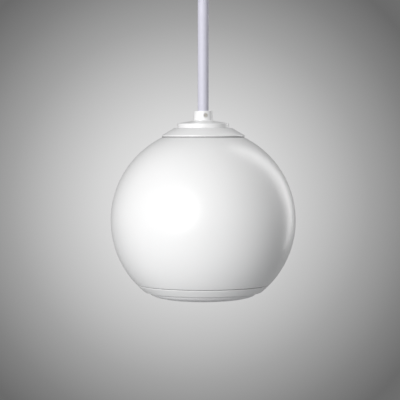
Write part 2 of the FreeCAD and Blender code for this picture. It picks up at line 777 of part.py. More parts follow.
def make_terminals():
    board = make_body("terminal_strip")
    sketch = make_sketch(board, "XY_Plane", out="strip_z")
    draw(sketch, rectangle("-strip_width / 2", "strip_inner", "strip_width / 2", "strip_outer"))
    draw_circle(sketch, "strip_rivet_radius + seat_gap", up="strip_rivet_reach")
    for side in ("", "-"):
        draw(sketch, blade(side, "seat_gap"))
    raise_from(board, sketch, "Pad", "strip_thick")
    tabs = make_body("terminal_tabs")
    for side in ("", "-"):
        sketch = make_sketch(tabs, "XY_Plane", out="strip_z - tab_foot")
        draw(sketch, blade(side, "0"))
        raise_from(tabs, sketch, "Pad", "tab_foot + strip_thick + tab_height")
    sleeves = make_body("push_connectors")
    low = "strip_top_z + sleeve_lift"
    for side in ("", "-"):
        sketch = make_sketch(sleeves, "XY_Plane", out=low)
        draw(sketch, blade(side, "sleeve_wall"))
        raise_from(sleeves, sketch, "Pad", "sleeve_height")
        slot = make_sketch(sleeves, "XY_Plane", out=low)
        draw(slot, blade(side, "seat_gap"))
        raise_from(sleeves, slot, "Pocket", "sleeve_height - sleeve_top", reverse=True)
    rivet = make_body("strip_rivet")
    turn_round(rivet, [
        ("0", "shelf_z - strip_rivet_head"), ("2 * strip_rivet_radius", "shelf_z - strip_rivet_head"),
        ("2 * strip_rivet_radius", "shelf_z"), ("strip_rivet_radius", "shelf_z"),
        ("strip_rivet_radius", "strip_top_z"), ("2 * strip_rivet_radius", "strip_top_z"),
        ("2 * strip_rivet_radius", "strip_top_z + strip_rivet_head"), ("0", "strip_top_z + strip_rivet_head"),
    ], out="-strip_rivet_reach")


def blade(side, grow):
    """The outline of a flat blade on one side of the board, grown all round."""
    wide, thick = f"(tab_width / 2 + {grow})", f"(tab_thick / 2 + {grow})"
    return rectangle(f"{side}tab_spread - {wide}", f"tab_reach - {thick}",
                     f"{side}tab_spread + {wide}", f"tab_reach + {thick}")


def make_wires():
    for name, side in (("plus", ""), ("minus", "-")):
        wire_along(f"lead_{name}", "wire_radius", [
            (f"{side}wire_spread", "0", "cable_low_z"), (f"{side}wire_spread", "0", "lead_low_z"),
            (f"{side}5", "lead_reach", "(lead_low_z + yoke_z) / 2 + lead_lift"),
            (f"{side}tab_spread", "tab_reach", "yoke_z + wire_radius"),
            (f"{side}tab_spread", "tab_reach", "sleeve_top_z"),
        ])
        wire_along(f"braid_{name}", "braid_radius", [
            (f"{side}3.5", "15", "braid_root_z"), (f"{side}4.5", "18", "braid_root_z + 1.8"),
            (f"{side}6", "25", "neck_z - 1.4"), (f"{side}tab_spread", "tab_reach", "neck_z - 0.6"),
            (f"{side}tab_spread", "tab_reach", "strip_z - tab_foot"),
        ])
        wire_along(f"ceiling_lead_{name}", "wire_radius", [
            ("0", f"{side}wire_spread", "cable_high"), ("0", f"{side}wire_spread", "block_wire_z"),
            ("block_start - 5", f"{side}pole_spread", "block_wire_z"),
            ("block_start + wire_entry", f"{side}pole_spread", "block_wire_z"),
        ], hung=False)


# The front: a ring that continues the ball and holds the domed grille against a foam ring.

def make_bezel_ring():
    skirt = "frame_radius + rim_gap"
    top, low = on_sphere("ball_radius", "bezel_top_z"), "bezel_low_radius"
    body = turned("bezel_ring", [
        (skirt, "flange_front_z"), (skirt, "bezel_top_z"), (top, "bezel_top_z"),
        (low, "bezel_low_z", "ball_radius", 1), ("bezel_opening", "bezel_low_z"),
        ("bezel_opening", "ledge_z"), ("bezel_pocket", "ledge_z"), ("bezel_pocket", "flange_front_z"),
    ])
    break_edges(body, "bezel_edge", (top, "bezel_top_z"), (low, "bezel_low_z"))


def make_grille():
    rim, neck = "grille_rim_radius", "grille_dome_radius"
    apex = "bezel_low_z - grille_rise"
    inner = f"{neck} - grille_wall"
    body = turned("grille", [
        (rim, "ledge_z"), (rim, "ledge_z + grille_wall"), (inner, "ledge_z + grille_wall"),
        (inner, f"grille_centre_z - {on_sphere('grille_inner_curve', inner)}"),
        ("0", f"{apex} + grille_wall", "grille_inner_curve", 1), ("0", apex),
        (neck, "bezel_low_z", "grille_curve", -1), (neck, "ledge_z"),
    ])
    for row in range(value_count("grille_rings") + 1):
        hole = make_sketch(body, "XY_Plane", across=f"{row} * grille_pitch", out=apex)
        draw(hole, hexagon("grille_hole_flats"))
        cut = raise_from(body, hole, "Pocket", "grille_rise + grille_wall", reverse=True)
        if row:
            repeat_round(body, [cut], str(6 * row))


# The ceiling fitting: a plate with two ears, a cup screwed to them, and a grip for the cable.

def make_ceiling_cup():
    edge, low = "cup_edge", "-cup_depth"
    body = turned("ceiling_cup", [
        ("cup_radius", "0"), ("cup_radius", f"{low} + {edge}"), (f"cup_radius - {edge}", low, edge, 1),
        ("grip_stem_radius + stem_gap", low), ("grip_stem_radius + stem_gap", f"{low} + cup_wall"),
        (f"cup_radius - {edge}", f"{low} + cup_wall"),
        ("cup_radius - cup_wall", f"{low} + {edge}", f"{edge} - cup_wall", -1),
        ("cup_radius - cup_wall", "0"),
    ], hung=False)
    hole = make_sketch(body, "XZ_Plane", up="-cup_screw_drop")
    draw_circle(hole, "screw_radius + rim_gap")
    raise_from(body, hole, "Pocket", both=True)


def make_ceiling_plate():
    body = make_body("ceiling_plate", hung=False)
    plate = make_sketch(body, "XY_Plane")
    draw_circle(plate, "ceiling_plate_radius")
    draw_circle(plate, "supply_hole_radius")
    for side in ("", "-"):
        draw_circle(plate, "mount_hole_radius", across=f"{side}mount_spacing / 2")
    raise_from(body, plate, "Pad", "ceiling_plate_thick", reverse=True)
    reach, bend, thick = "ceiling_ear_reach", "ceiling_ear_bend", "ceiling_plate_thick"
    start = f"ceiling_plate_radius - 2 * {bend}"
    profile = make_sketch(body, "YZ_Plane")
    draw(profile, [
        (start, "0"), (start, f"-{thick}"), (f"{reach} - {bend}", f"-{thick}"),
        (f"{reach} - {thick}", f"-{bend}", f"{bend} - {thick}", 1),
        (f"{reach} - {thick}", "-ceiling_ear_drop"), (reach, "-ceiling_ear_drop"), (reach, f"-{bend}"),
        (f"{reach} - {bend}", "0", bend, -1),
    ])
    ear = raise_from(body, profile, "Pad", "ceiling_ear_width", both=True)
    mirror(body, [ear], "XZ_Plane")
    hole = make_sketch(body, "XZ_Plane", up="-cup_screw_drop")
    draw_circle(hole, "screw_radius + seat_gap")
    raise_from(body, hole, "Pocket", both=True)


def make_cup_screws():
    body = make_body("cup_screws", hung=False)
    tip, head, top = "cup_radius - cup_screw_length", "cup_screw_head_radius", "cup_radius + cup_screw_head"
    screw = turn_round(body, [
        (tip, "0"), (tip, "screw_radius"), ("cup_radius", "screw_radius"), ("cup_radius", head),
        (top, "0", dome_radius(head, "cup_screw_head"), 1),
    ], plane="YZ_Plane", axis="H_Axis", up="-cup_screw_drop")
    mirror(body, [screw], "XZ_Plane")


def make_ceiling_grip():
    bore = "cable_radius + cable_gap"
    flange = "-cup_depth - grip_flange"
    body = turned("ceiling_grip", [
        (bore, "grip_low"), ("collar_radius", "grip_low"), ("collar_radius", flange),
        ("grip_flange_radius", flange), ("grip_flange_radius", "-cup_depth"),
        ("grip_stem_radius", "-cup_depth"), ("grip_stem_radius", "grip_top"), (bore, "grip_top"),
    ], hung=False)
    break_edges(body, "soft_edge", ("collar_radius", "grip_low"), ("grip_flange_radius", flange))
    cut_collar_hole(body, "grip_low + grip_collar / 2")


def make_terminal_block():
    body = make_body("terminal_block", hung=False)
    sketch = make_sketch(body, "XY_Plane", out="-ceiling_plate_thick")
    draw(sketch, rectangle("block_start", "-block_width / 2", "block_start + block_length",
                           "block_width / 2"))
    raise_from(body, sketch, "Pad", "block_height", reverse=True)
    screws = make_body("terminal_screws", hung=False)
    wires = make_sketch(body, "YZ_Plane", out="block_start", up="block_wire_z")
    wells = make_sketch(body, "XY_Plane", out="-ceiling_plate_thick - block_height")
    shanks = make_sketch(screws, "XY_Plane", out="-ceiling_plate_thick - block_height + block_screw_sink")
    for side in ("", "-"):
        draw_circle(wires, "wire_radius + cable_gap", across=f"{side}pole_spread")
        for share in ("0.25", "0.75"):
            along = f"block_start + {share} * block_length"
            draw_circle(wells, "block_screw_radius + seat_gap", along, f"{side}pole_spread")
            draw_circle(shanks, "block_screw_radius", along, f"{side}pole_spread")
    raise_from(body, wires, "Pocket", "block_length", reverse=True)
    raise_from(body, wells, "Pocket", "block_height / 2", reverse=True)
    raise_from(screws, shanks, "Pad", "block_height / 2 - block_screw_sink")


def make_ceiling_parts():
    make_ceiling_cup()
    make_ceiling_plate()
    make_cup_screws()
    make_ceiling_grip()
    make_collar_screw("ceiling_grip_screw", "grip_low + grip_collar / 2", False, "0")
    make_nut("ceiling_grip_nut", "grip_nut_flats", "grip_stem_radius + seat_gap",
             "-cup_depth + cup_wall", "grip_nut_height", hung=False)
    ring("ceiling_ferrule", "cable_radius + seat_gap", "ferrule_radius", "grip_top",
         "grip_top + ferrule_length", hung=False)
    make_terminal_block()


# The cable hangs straight from the ceiling grip to the ferrule inside the ball.

def make_cable():
    cable = doc.addObject("Part::Cylinder", "cable")
    cable.setExpression("Radius", words("cable_radius"))
    cable.setExpression("Height", words("cable_high + ball_drop - cable_low_z"))
    cable.setExpression("Placement.Base.z", words("cable_low_z - ball_drop"))


make_ball_shell()
make_clinch_nuts()
make_wadding()
make_top_parts()
make_basket()
make_driver_screws()
make_driver_gasket()
make_magnet_system()
make_moving_parts()
make_terminals()
make_wires()
make_bezel_ring()
make_grille()
ring("grille_gasket", "bezel_opening", "grille_rim_radius", "ledge_z + grille_wall", "flange_front_z")
make_ceiling_parts()
make_cable()
doc.recompute()

# Everything is tested before the first file is written.
nodes = [thing for thing in doc.Objects
         if thing.isDerivedFrom("PartDesign::Body") or thing.TypeId in ("Part::Cylinder", "Part::Feature")]
failed = [thing.Label for thing in doc.Objects if {"Invalid", "Error"} & set(thing.State)]
failed += [thing.Label for thing in nodes if thing.Shape.isNull() or not thing.Shape.isValid()]
if failed:
    raise SystemExit(f"failed: {failed}")
os.makedirs("parts", exist_ok=True)
for node in nodes:
    node.Shape.exportStep(f"parts/{node.Label}.step")
print(f"{len(nodes)} nodes written")
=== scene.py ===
import math

import bmesh
import bpy
from mathutils import Matrix, Vector
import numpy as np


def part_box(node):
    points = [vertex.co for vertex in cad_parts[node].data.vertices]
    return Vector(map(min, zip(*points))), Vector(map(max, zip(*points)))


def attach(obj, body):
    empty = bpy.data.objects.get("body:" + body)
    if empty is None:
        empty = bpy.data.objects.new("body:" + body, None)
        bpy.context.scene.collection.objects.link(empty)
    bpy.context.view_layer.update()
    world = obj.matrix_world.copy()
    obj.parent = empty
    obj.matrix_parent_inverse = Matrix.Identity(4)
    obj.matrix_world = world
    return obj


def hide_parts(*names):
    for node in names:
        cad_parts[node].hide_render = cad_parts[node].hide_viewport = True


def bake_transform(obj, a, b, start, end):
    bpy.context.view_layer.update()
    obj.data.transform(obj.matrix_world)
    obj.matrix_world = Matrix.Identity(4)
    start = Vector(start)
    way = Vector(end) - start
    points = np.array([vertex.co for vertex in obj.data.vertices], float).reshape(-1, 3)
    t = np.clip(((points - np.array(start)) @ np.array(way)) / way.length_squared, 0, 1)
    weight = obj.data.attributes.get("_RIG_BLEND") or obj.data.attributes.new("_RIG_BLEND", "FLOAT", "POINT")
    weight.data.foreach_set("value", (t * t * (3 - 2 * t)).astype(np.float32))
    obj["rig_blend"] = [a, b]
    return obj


# A white pendant loudspeaker on its cable. Sizes are in metres, and mm turns millimetres into them.

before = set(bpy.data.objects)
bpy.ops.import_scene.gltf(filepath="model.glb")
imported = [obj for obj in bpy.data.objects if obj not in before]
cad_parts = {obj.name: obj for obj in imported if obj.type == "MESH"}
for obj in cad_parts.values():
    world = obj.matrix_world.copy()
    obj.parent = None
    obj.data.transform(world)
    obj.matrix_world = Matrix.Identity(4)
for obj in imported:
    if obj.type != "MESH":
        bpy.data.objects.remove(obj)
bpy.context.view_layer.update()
mm = 0.001

# where things are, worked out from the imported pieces
topHoleRadius = 15 * mm
ballLow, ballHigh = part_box("ball_shell")
ballRadius = ballHigh.x
ballCentre = ballHigh.z - math.sqrt(ballRadius**2 - topHoleRadius**2)
mouthHeight = ballLow.z
capLow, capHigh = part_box("cable_cap")
flangeLow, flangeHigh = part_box("top_cone")
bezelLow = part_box("bezel_ring")[0]
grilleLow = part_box("grille")[0]
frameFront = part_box("basket")[0].z
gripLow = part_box("ceiling_grip")[0]


# helpers for materials
def linear(hexColor):
    # an sRGB hex colour as the linear numbers that a shader takes
    color = []
    for start in (1, 3, 5):
        part = int(hexColor[start:start + 2], 16) / 255
        color.append(part / 12.92 if part <= 0.04045 else ((part + 0.055) / 1.055) ** 2.4)
    return (*color, 1)


def addNode(tree, kind, inputs=None, **settings):
    node = tree.nodes.new(kind)
    for setting, value in settings.items():
        setattr(node, setting, value)
    for socket, value in (inputs or {}).items():
        if isinstance(value, bpy.types.NodeSocket):
            tree.links.new(value, node.inputs[socket])
        else:
            node.inputs[socket].default_value = value
    return node


def startMaterial(name, **sockets):
    # a Principled shader with its even values on its own sockets
    material = bpy.data.materials.new(name)
    material.use_nodes = True
    tree = material.node_tree
    tree.nodes.clear()
    even = {socket.replace("_", " "): value for socket, value in sockets.items()}
    shader = addNode(tree, "ShaderNodeBsdfPrincipled", even)
    addNode(tree, "ShaderNodeOutputMaterial", {"Surface": shader.outputs["BSDF"]})
    spot = addNode(tree, "ShaderNodeTexCoord").outputs["Object"]
    return material, tree, shader, spot


def blendColors(tree, share, first, second):
    mix = addNode(tree, "ShaderNodeMix", data_type="RGBA")
    tree.links.new(share, mix.inputs[0])
    mix.inputs[6].default_value, mix.inputs[7].default_value = linear(first), linear(second)
    return mix.outputs[2]


def noise(tree, spot, grain, stretch=(1, 1, 1), detail=2.0):
    # grain is the pattern's size in metres, and stretch draws it out along an axis
    scale = tuple(1 / (grain * longer) for longer in stretch)
    scaled = addNode(tree, "ShaderNodeMapping", {"Vector": spot, "Scale": scale}).outputs["Vector"]
    cloud = addNode(tree, "ShaderNodeTexNoise", {"Vector": scaled, "Scale": 1.0, "Detail": detail})
    return cloud.outputs["Fac"]


def cells(tree, spot, grain, feature="F1"):
    pattern = addNode(tree, "ShaderNodeTexVoronoi", {"Vector": spot, "Scale": 1 / grain}, feature=feature)
    return pattern.outputs["Distance"]


def relief(tree, shader, height, depth, strength=1.0):
    bump = addNode(tree, "ShaderNodeBump", {"Height": height, "Strength": strength, "Distance": depth})
    tree.links.new(bump.outputs["Normal"], shader.inputs["Normal"])


def tint(tree, shader, share, first, second):
    tree.links.new(blendColors(tree, share, first, second), shader.inputs["Base Color"])


def spread(tree, share, low, high):
    # a pattern from 0 to 1 stretched between two values
    stretched = addNode(tree, "ShaderNodeMapRange", {"Value": share, "To Min": low, "To Max": high})
    return stretched.outputs["Result"]


# helpers for shapes
def pickOnly(piece):
    bpy.ops.object.select_all(action="DESELECT")
    bpy.context.view_layer.objects.active = piece
    piece.select_set(True)


def openMesh(piece, picked="DESELECT"):
    # edit mode, with no point picked or all of them
    pickOnly(piece)
    bpy.ops.object.mode_set(mode="EDIT")
    bpy.ops.mesh.select_mode(type="VERT")
    bpy.ops.mesh.select_all(action=picked)


def closeMesh():
    bpy.ops.object.mode_set(mode="OBJECT")


def mergeMesh():
    # joins points that lie together, drops loose ones, and turns the faces outwards
    bpy.ops.mesh.select_all(action="SELECT")
    bpy.ops.mesh.remove_doubles(threshold=mm / 1000)
    bpy.ops.mesh.delete_loose()
    bpy.ops.mesh.select_all(action="SELECT")
    bpy.ops.mesh.normals_make_consistent(inside=False)
    closeMesh()


def widen(share, extrude):
    # extrudes what is picked, and draws the new part out from the axis or in towards it
    extrude(TRANSFORM_OT_translate={"value": (0, 0, 0)})
    bpy.ops.transform.resize(value=(share, share, 1), center_override=(0, 0, 0))


def pickPoints(piece, test):
    shape = bmesh.from_edit_mesh(piece.data)
    for point in shape.verts:
        point.select = bool(test(point.co))
    shape.select_flush(True)
    bmesh.update_edit_mesh(piece.data)


def pickEdges(piece, test):
    bpy.ops.mesh.select_mode(type="EDGE")
    shape = bmesh.from_edit_mesh(piece.data)
    for edge in shape.edges:
        edge.select = bool(test(edge))
    bmesh.update_edit_mesh(piece.data)


def startPiece(addPrimitive, name, **sizes):
    bpy.ops.object.select_all(action="DESELECT")
    addPrimitive(**sizes)
    piece = bpy.context.object
    piece.name = piece.data.name = name
    bpy.ops.object.transform_apply(location=True, rotation=True, scale=True)
    return piece


def finishWith(piece, kind, **settings):
    # adds a modifier and applies it
    pickOnly(piece)
    modifier = piece.modifiers.new(kind.title(), kind)
    for setting, value in settings.items():
        setattr(modifier, setting, value)
    bpy.ops.object.modifier_apply(modifier=modifier.name)


def smooth(piece, angle):
    pickOnly(piece)
    bpy.ops.object.shade_smooth_by_angle(angle=math.radians(angle))


def roundEdges(piece, radius, segments=3, angle=30):
    finishWith(piece, "BEVEL", width=radius, segments=segments, limit_method="ANGLE",
               angle_limit=math.radians(angle))


def copyPiece(piece, turn=0.0, shift=(0, 0, 0)):
    # a copy with its own mesh, turned about the upright axis and moved
    twin = piece.copy()
    twin.data = piece.data.copy()
    twin.data.transform(Matrix.Translation(shift) @ Matrix.Rotation(turn, 4, "Z"))
    bpy.context.scene.collection.objects.link(twin)
    return twin


def joinPieces(pieces):
    bpy.ops.object.select_all(action="DESELECT")
    for piece in pieces:
        piece.select_set(True)
    bpy.context.view_layer.objects.active = pieces[0]
    bpy.ops.object.join()
    return pieces[0]


def repeatRound(piece, count):
    # copies of one piece set evenly round the upright axis, joined
    copies = [copyPiece(piece, math.tau * number / count) for number in range(count)]
    name = piece.name
    bpy.data.objects.remove(piece)
    joined = joinPieces(copies)
    joined.name = joined.data.name = name
    return joined


def cutWith(piece, cutter):
    finishWith(piece, "BOOLEAN", object=cutter, operation="DIFFERENCE", solver="EXACT")
    bpy.data.objects.remove(cutter)


def makeDrill(radius, start, end, vertices=32):
    # a cylinder between two points, to cut a hole with
    start, end = Vector(start), Vector(end)
    along = end - start
    return startPiece(bpy.ops.mesh.primitive_cylinder_add, "drill", vertices=vertices, radius=radius,
                      depth=along.length, location=(start + end) / 2,
                      rotation=along.to_track_quat("Z", "Y").to_euler())


def arcPoints(centre, radius, start, end, steps):
    # points on an arc in the (across, up) plane, angles in degrees from the across axis
    across, up = centre
    angles = [math.radians(start + (end - start) * step / steps) for step in range(steps + 1)]
    return [(across + radius * math.cos(angle), up + radius * math.sin(angle)) for angle in angles]


def spherePoints(radius, fromHeight, toHeight, steps):
    # points on a sphere about the ball's centre, from one height to another
    angles = [math.degrees(math.asin((height - ballCentre) / radius)) for height in (fromHeight, toHeight)]
    return arcPoints((0, ballCentre), radius, *angles, steps)


def sphereHeight(radius, across):
    # the height of a sphere about the ball's centre, at a distance from the axis
    return ballCentre + math.sqrt(radius**2 - across**2)


def turnPiece(name, outline, steps=128, closed=True):
    # draws an outline (across, up) point by point and spins it round the upright axis
    piece = startPiece(bpy.ops.mesh.primitive_plane_add, name, size=mm)
    openMesh(piece, "SELECT")
    bpy.ops.mesh.merge(type="CENTER")
    bpy.ops.transform.translate(value=(outline[0][0], 0, outline[0][1]))
    for here, there in zip(outline, outline[1:]):
        step = (there[0] - here[0], 0, there[1] - here[1])
        bpy.ops.mesh.extrude_vertices_move(TRANSFORM_OT_translate={"value": step})
    if closed:
        shape = bmesh.from_edit_mesh(piece.data)
        shape.verts.ensure_lookup_table()
        shape.verts[0].select = True
        bmesh.update_edit_mesh(piece.data)
        bpy.ops.mesh.edge_face_add()
    bpy.ops.mesh.select_all(action="SELECT")
    bpy.ops.mesh.spin(steps=steps, angle=math.tau, center=(0, 0, 0), axis=(0, 0, 1))
    mergeMesh()
    return piece


def drawLine(name, spots, radius, roundness, steps):
    # a round line from the first spot to the last, which bends smoothly towards the others
    line = bpy.data.curves.new(name, "CURVE")
    line.dimensions = "3D"
    line.bevel_depth = radius
    line.bevel_resolution = roundness
    line.use_fill_caps = True
    spline = line.splines.new("NURBS")
    spline.points.add(len(spots) - 1)
    for point, spot in zip(spline.points, spots):
        point.co = (*spot, 1)
    spline.order_u = 3
    spline.use_endpoint_u = True
    spline.resolution_u = steps
    piece = bpy.data.objects.new(name, line)
    bpy.context.scene.collection.objects.link(piece)
    return piece


def dress(piece, material, slot, *nodes, body="root"):
    # gives a new piece its finish and its body, and hides the imported pieces that it stands for
    piece.data.materials.clear()
    piece.data.materials.append(material)
    if body:
        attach(piece, body)
    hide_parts(*nodes)
    return piece


def paintNodes(material, *nodes):
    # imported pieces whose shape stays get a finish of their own
    for node in nodes:
        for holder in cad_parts[node].material_slots:
            holder.material = material


def stretchBetween(piece, stillRadius, movingRadius):
    # near the axis the piece goes with the cone, and out at its edge it stays with the frame
    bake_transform(piece, "root", "diaphragm", start=(stillRadius, 0, 0), end=(movingRadius, 0, 0))
    weights = piece.data.attributes["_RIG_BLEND"].data
    for point, weight in zip(piece.data.vertices, weights):
        share = (stillRadius - point.co.xy.length) / (stillRadius - movingRadius)
        share = min(max(share, 0), 1)
        weight.value = share * share * (3 - 2 * share)


# camera: a long lens a little above the ball, aimed slightly down
cameraView = {"distance": 1.068, "aboveBall": 57.5 * mm, "aimAboveBall": 13.9 * mm, "leftOfAxis": 2.2 * mm,
              "lens": 140, "sensor": 36, "nearest": 0.05, "farthest": 60}
eye = Vector((-cameraView["leftOfAxis"], -cameraView["distance"], ballCentre + cameraView["aboveBall"]))
aim = Vector((-cameraView["leftOfAxis"], 0, ballCentre + cameraView["aimAboveBall"]))
bpy.ops.object.camera_add(location=eye, rotation=(aim - eye).to_track_quat("-Z", "Y").to_euler())
camera = bpy.context.object
camera.name = "camera"
camera.data.lens = cameraView["lens"]
camera.data.sensor_width = cameraView["sensor"]
camera.data.clip_start = cameraView["nearest"]
camera.data.clip_end = cameraView["farthest"]
bpy.context.scene.camera = camera
bpy.context.scene.view_settings.view_transform = "Standard"


# cable: a smooth round sheath, pulled straight by the weight of the ball
cableSettings = {"diameter": 7.5 * mm, "intoStem": 28 * mm, "pastGrip": 18 * mm, "straight": 45 * mm}


def makeCableSheath():
    # extruded soft PVC: an even satin with a faint lengthwise drag from the die
    material, tree, shader, spot = startMaterial("extrudedPvcSheath", Roughness=0.58, IOR=1.53)
    drag = noise(tree, spot, 1.1 * mm, (1, 1, 50), 3.0)
    tint(tree, shader, drag, "#C5C4D1", "#D0CFDB")
    relief(tree, shader, drag, 0.02 * mm, 0.4)
    return material


def makeCable():
    settings = cableSettings
    low, high = capHigh.z - settings["intoStem"], gripLow.z + settings["pastGrip"]
    heights = (low, low + settings["straight"], high - settings["straight"], high)
    spots = [(0, 0, height) for height in heights]
    cable = drawLine("cable_sheath", spots, settings["diameter"] / 2, 14, 12)
    dress(cable, makeCableSheath(), "cable_sheath", "cable")
    return cable, high - low


# floor, backdrop, world and lamps
stageSettings = {"floorBelow": 1.1, "floorSize": 30, "backdropAway": 1.7, "backdropSize": 3.0,
                 "paintedLightPoolLeft": 20 * mm, "paintedLightPoolBelow": 60 * mm, "skyColor": "#F6F6F6", "skyStrength": 0.28}
# the backdrop's painted pool of light, brightest round the ball and darker outwards: distance from its
# middle in metres and the grey there
paintedLightPool = ((0.0, "#E7E7E7"), (0.10, "#E0E0E0"), (0.16, "#D5D5D5"), (0.25, "#BCBCBC"), (0.32, "#A3A3A3"),
        (0.41, "#838383"), (0.48, "#6A6A6A"), (1.1, "#A0A0A0"))
lamps = {
    "keyLamp": {"from": (-0.47, -0.87, 0.24), "away": 2.0, "wide": 1.1, "high": 1.1, "power": 38.5},
    "rimLamp": {"from": (0.72, 0.66, 0.42), "away": 1.4, "wide": 0.55, "high": 2.4, "power": 9.5},
}


def seenFrom(tree, nearby, light):
    # what the camera, gloss and glass see is nearby, and everything else is lit by light
    path = addNode(tree, "ShaderNodeLightPath")
    seen = path.outputs["Is Camera Ray"]
    for ray in ("Is Glossy Ray", "Is Transmission Ray"):
        either = addNode(tree, "ShaderNodeMath", {0: seen, 1: path.outputs[ray]}, operation="MAXIMUM")
        seen = either.outputs[0]
    return addNode(tree, "ShaderNodeMixShader", {0: seen, 1: light, 2: nearby}).outputs[0]


def makeStage():
    settings = stageSettings
    away = settings["backdropAway"]
    floor = startPiece(bpy.ops.mesh.primitive_plane_add, "studio_floor", size=settings["floorSize"],
                       location=(0, 0, ballCentre - settings["floorBelow"]))
    material, tree, shader, spot = startMaterial("paleFloorPaint", Roughness=0.8)
    tint(tree, shader, noise(tree, spot, 0.4), "#C3C4C5", "#C9CACB")
    floor.data.materials.append(material)
    backdrop = startPiece(bpy.ops.mesh.primitive_plane_add, "studio_backdrop",
                          size=settings["backdropSize"], location=(0, away, ballCentre),
                          rotation=(math.pi / 2, 0, 0))
    material, tree, shader, spot = startMaterial("greyBackdropPaintedLight", Roughness=0.9,
                                                 Base_Color=linear("#B4B5B6"))
    # what the camera sees on the backdrop is a painted pool of light: a grey ramp that glows brightest near
    # the ball and darkens outwards
    middle = (settings["paintedLightPoolLeft"], -away, settings["paintedLightPoolBelow"] - ballCentre)
    centred = addNode(tree, "ShaderNodeMapping", {"Vector": spot, "Location": middle}).outputs["Vector"]
    reach = addNode(tree, "ShaderNodeVectorMath", {0: centred}, operation="LENGTH").outputs["Value"]
    share = addNode(tree, "ShaderNodeMath", {0: reach, 1: paintedLightPool[-1][0]}, operation="DIVIDE").outputs[0]
    ramp = addNode(tree, "ShaderNodeValToRGB", {"Fac": share})
    for number, (distance, grey) in enumerate(paintedLightPool):
        stop = ramp.color_ramp.elements[number] if number < 2 else ramp.color_ramp.elements.new(1)
        stop.position = distance / paintedLightPool[-1][0]
        stop.color = linear(grey)
    shown = addNode(tree, "ShaderNodeEmission", {"Color": ramp.outputs["Color"]}).outputs[0]
    output = next(node for node in tree.nodes if node.type == "OUTPUT_MATERIAL")
    tree.links.new(seenFrom(tree, shown, shader.outputs[0]), output.inputs["Surface"])
    backdrop.data.materials.append(material)
    world = bpy.data.worlds.new("studio")
    bpy.context.scene.world = world
    world.use_nodes = True
    tree = world.node_tree
    tree.nodes.clear()
    shown = addNode(tree, "ShaderNodeBackground", {"Color": linear(paintedLightPool[-1][1]), "Strength": 1.0})
    light = addNode(tree, "ShaderNodeBackground", {"Color": linear(settings["skyColor"]),
                                                   "Strength": settings["skyStrength"]})
    surface = seenFrom(tree, shown.outputs[0], light.outputs[0])
    addNode(tree, "ShaderNodeOutputWorld", {"Surface": surface})
    target = Vector((0, 0, ballCentre))
    for name, lamp in lamps.items():
        spot = target + Vector(lamp["from"]).normalized() * lamp["away"]
        aimed = (target - spot).to_track_quat("-Z", "Y").to_euler()
        bpy.ops.object.light_add(type="AREA", location=spot, rotation=aimed)
        light = bpy.context.object
        light.name = name
        light.data.shape = "ELLIPSE"
        light.data.size = lamp["wide"]
        light.data.size_y = lamp["high"]
        light.data.energy = lamp["power"]


# finishes of metal and paint
def makeSatinPaint():
    # satin powder coat on spun steel: smooth to the eye, with a very fine orange peel in its highlights
    material, tree, shader, spot = startMaterial("satinPowderCoat", Roughness=0.36, IOR=1.5,
                                                 Coat_Weight=0.3, Coat_Roughness=0.25)
    tint(tree, shader, noise(tree, spot, 30 * mm), "#EBEBEB", "#EFEFEF")
    relief(tree, shader, noise(tree, spot, 1.1 * mm), 0.03 * mm, 0.15)
    return material


def makeGrillePaint():
    # satin white enamel, sprayed thin on perforated sheet so that its holes stay open
    material, tree, shader, spot = startMaterial("whiteEnamelOnSheet", Roughness=0.4, IOR=1.5)
    grain = noise(tree, spot, 1.2 * mm)
    tint(tree, shader, grain, "#E4E4E5", "#EAEAEA")
    relief(tree, shader, grain, 0.02 * mm, 0.2)
    return material


def makeZincPlate():
    # zinc plated steel, blue passivated: bright grey with a faint cloudy bloom and fine press marks
    material, tree, shader, spot = startMaterial("bluePassivatedZinc", Metallic=1.0)
    cloud = noise(tree, spot, 5 * mm, detail=4.0)
    tint(tree, shader, cloud, "#A9ADB3", "#C2C5C8")
    tree.links.new(spread(tree, cloud, 0.28, 0.46), shader.inputs["Roughness"])
    relief(tree, shader, noise(tree, spot, 0.5 * mm), 0.01 * mm, 0.4)
    return material


def makeNickelPlate():
    # bright nickel on steel: paler and warmer than zinc, smooth enough to pick up the white around it
    material, tree, shader, spot = startMaterial("brightNickelPlate", Metallic=1.0, Roughness=0.5)
    haze = noise(tree, spot, 0.8 * mm, detail=3.0)
    tint(tree, shader, haze, "#E4E1DB", "#F2F0EC")
    relief(tree, shader, haze, 0.01 * mm, 0.3)
    return material


def makeTurnedAluminium():
    # plain aluminium off the lathe: pale, with fine rings about its axis
    material, tree, shader, spot = startMaterial("turnedAluminium", Metallic=1.0, Roughness=0.36)
    rings = noise(tree, spot, 0.12 * mm, (60, 60, 1), 2.0)
    tint(tree, shader, rings, "#C3C4C6", "#D9DADC")
    relief(tree, shader, rings, 0.01 * mm, 0.5)
    return material


def makeTexturedBlack():
    # black powder coat with a fine sandy texture on a casting
    material, tree, shader, spot = startMaterial("sandTexturedBlackCoat", Roughness=0.62, IOR=1.5)
    grain = noise(tree, spot, 0.35 * mm, detail=3.0)
    tint(tree, shader, grain, "#1C1D1F", "#2A2B2D")
    relief(tree, shader, grain, 0.08 * mm, 0.7)
    return material


def makeFerrite():
    # sintered ferrite: dull charcoal with fine pores and faint grinding marks
    material, tree, shader, spot = startMaterial("sinteredFerrite", Roughness=0.7, IOR=1.6)
    pores = cells(tree, spot, 0.5 * mm)
    tint(tree, shader, pores, "#2E2F33", "#3D3E42")
    relief(tree, shader, pores, 0.03 * mm, 0.5)
    return material


def makeCopperWire():
    # enamelled copper: amber lacquer over bright wire
    material, tree, shader, spot = startMaterial("enamelledCopper", Metallic=1.0, Roughness=0.26,
                                                 Coat_Weight=0.6, Coat_Roughness=0.1)
    tint(tree, shader, noise(tree, spot, 1.0 * mm), "#B0653A", "#C9814F")
    return material


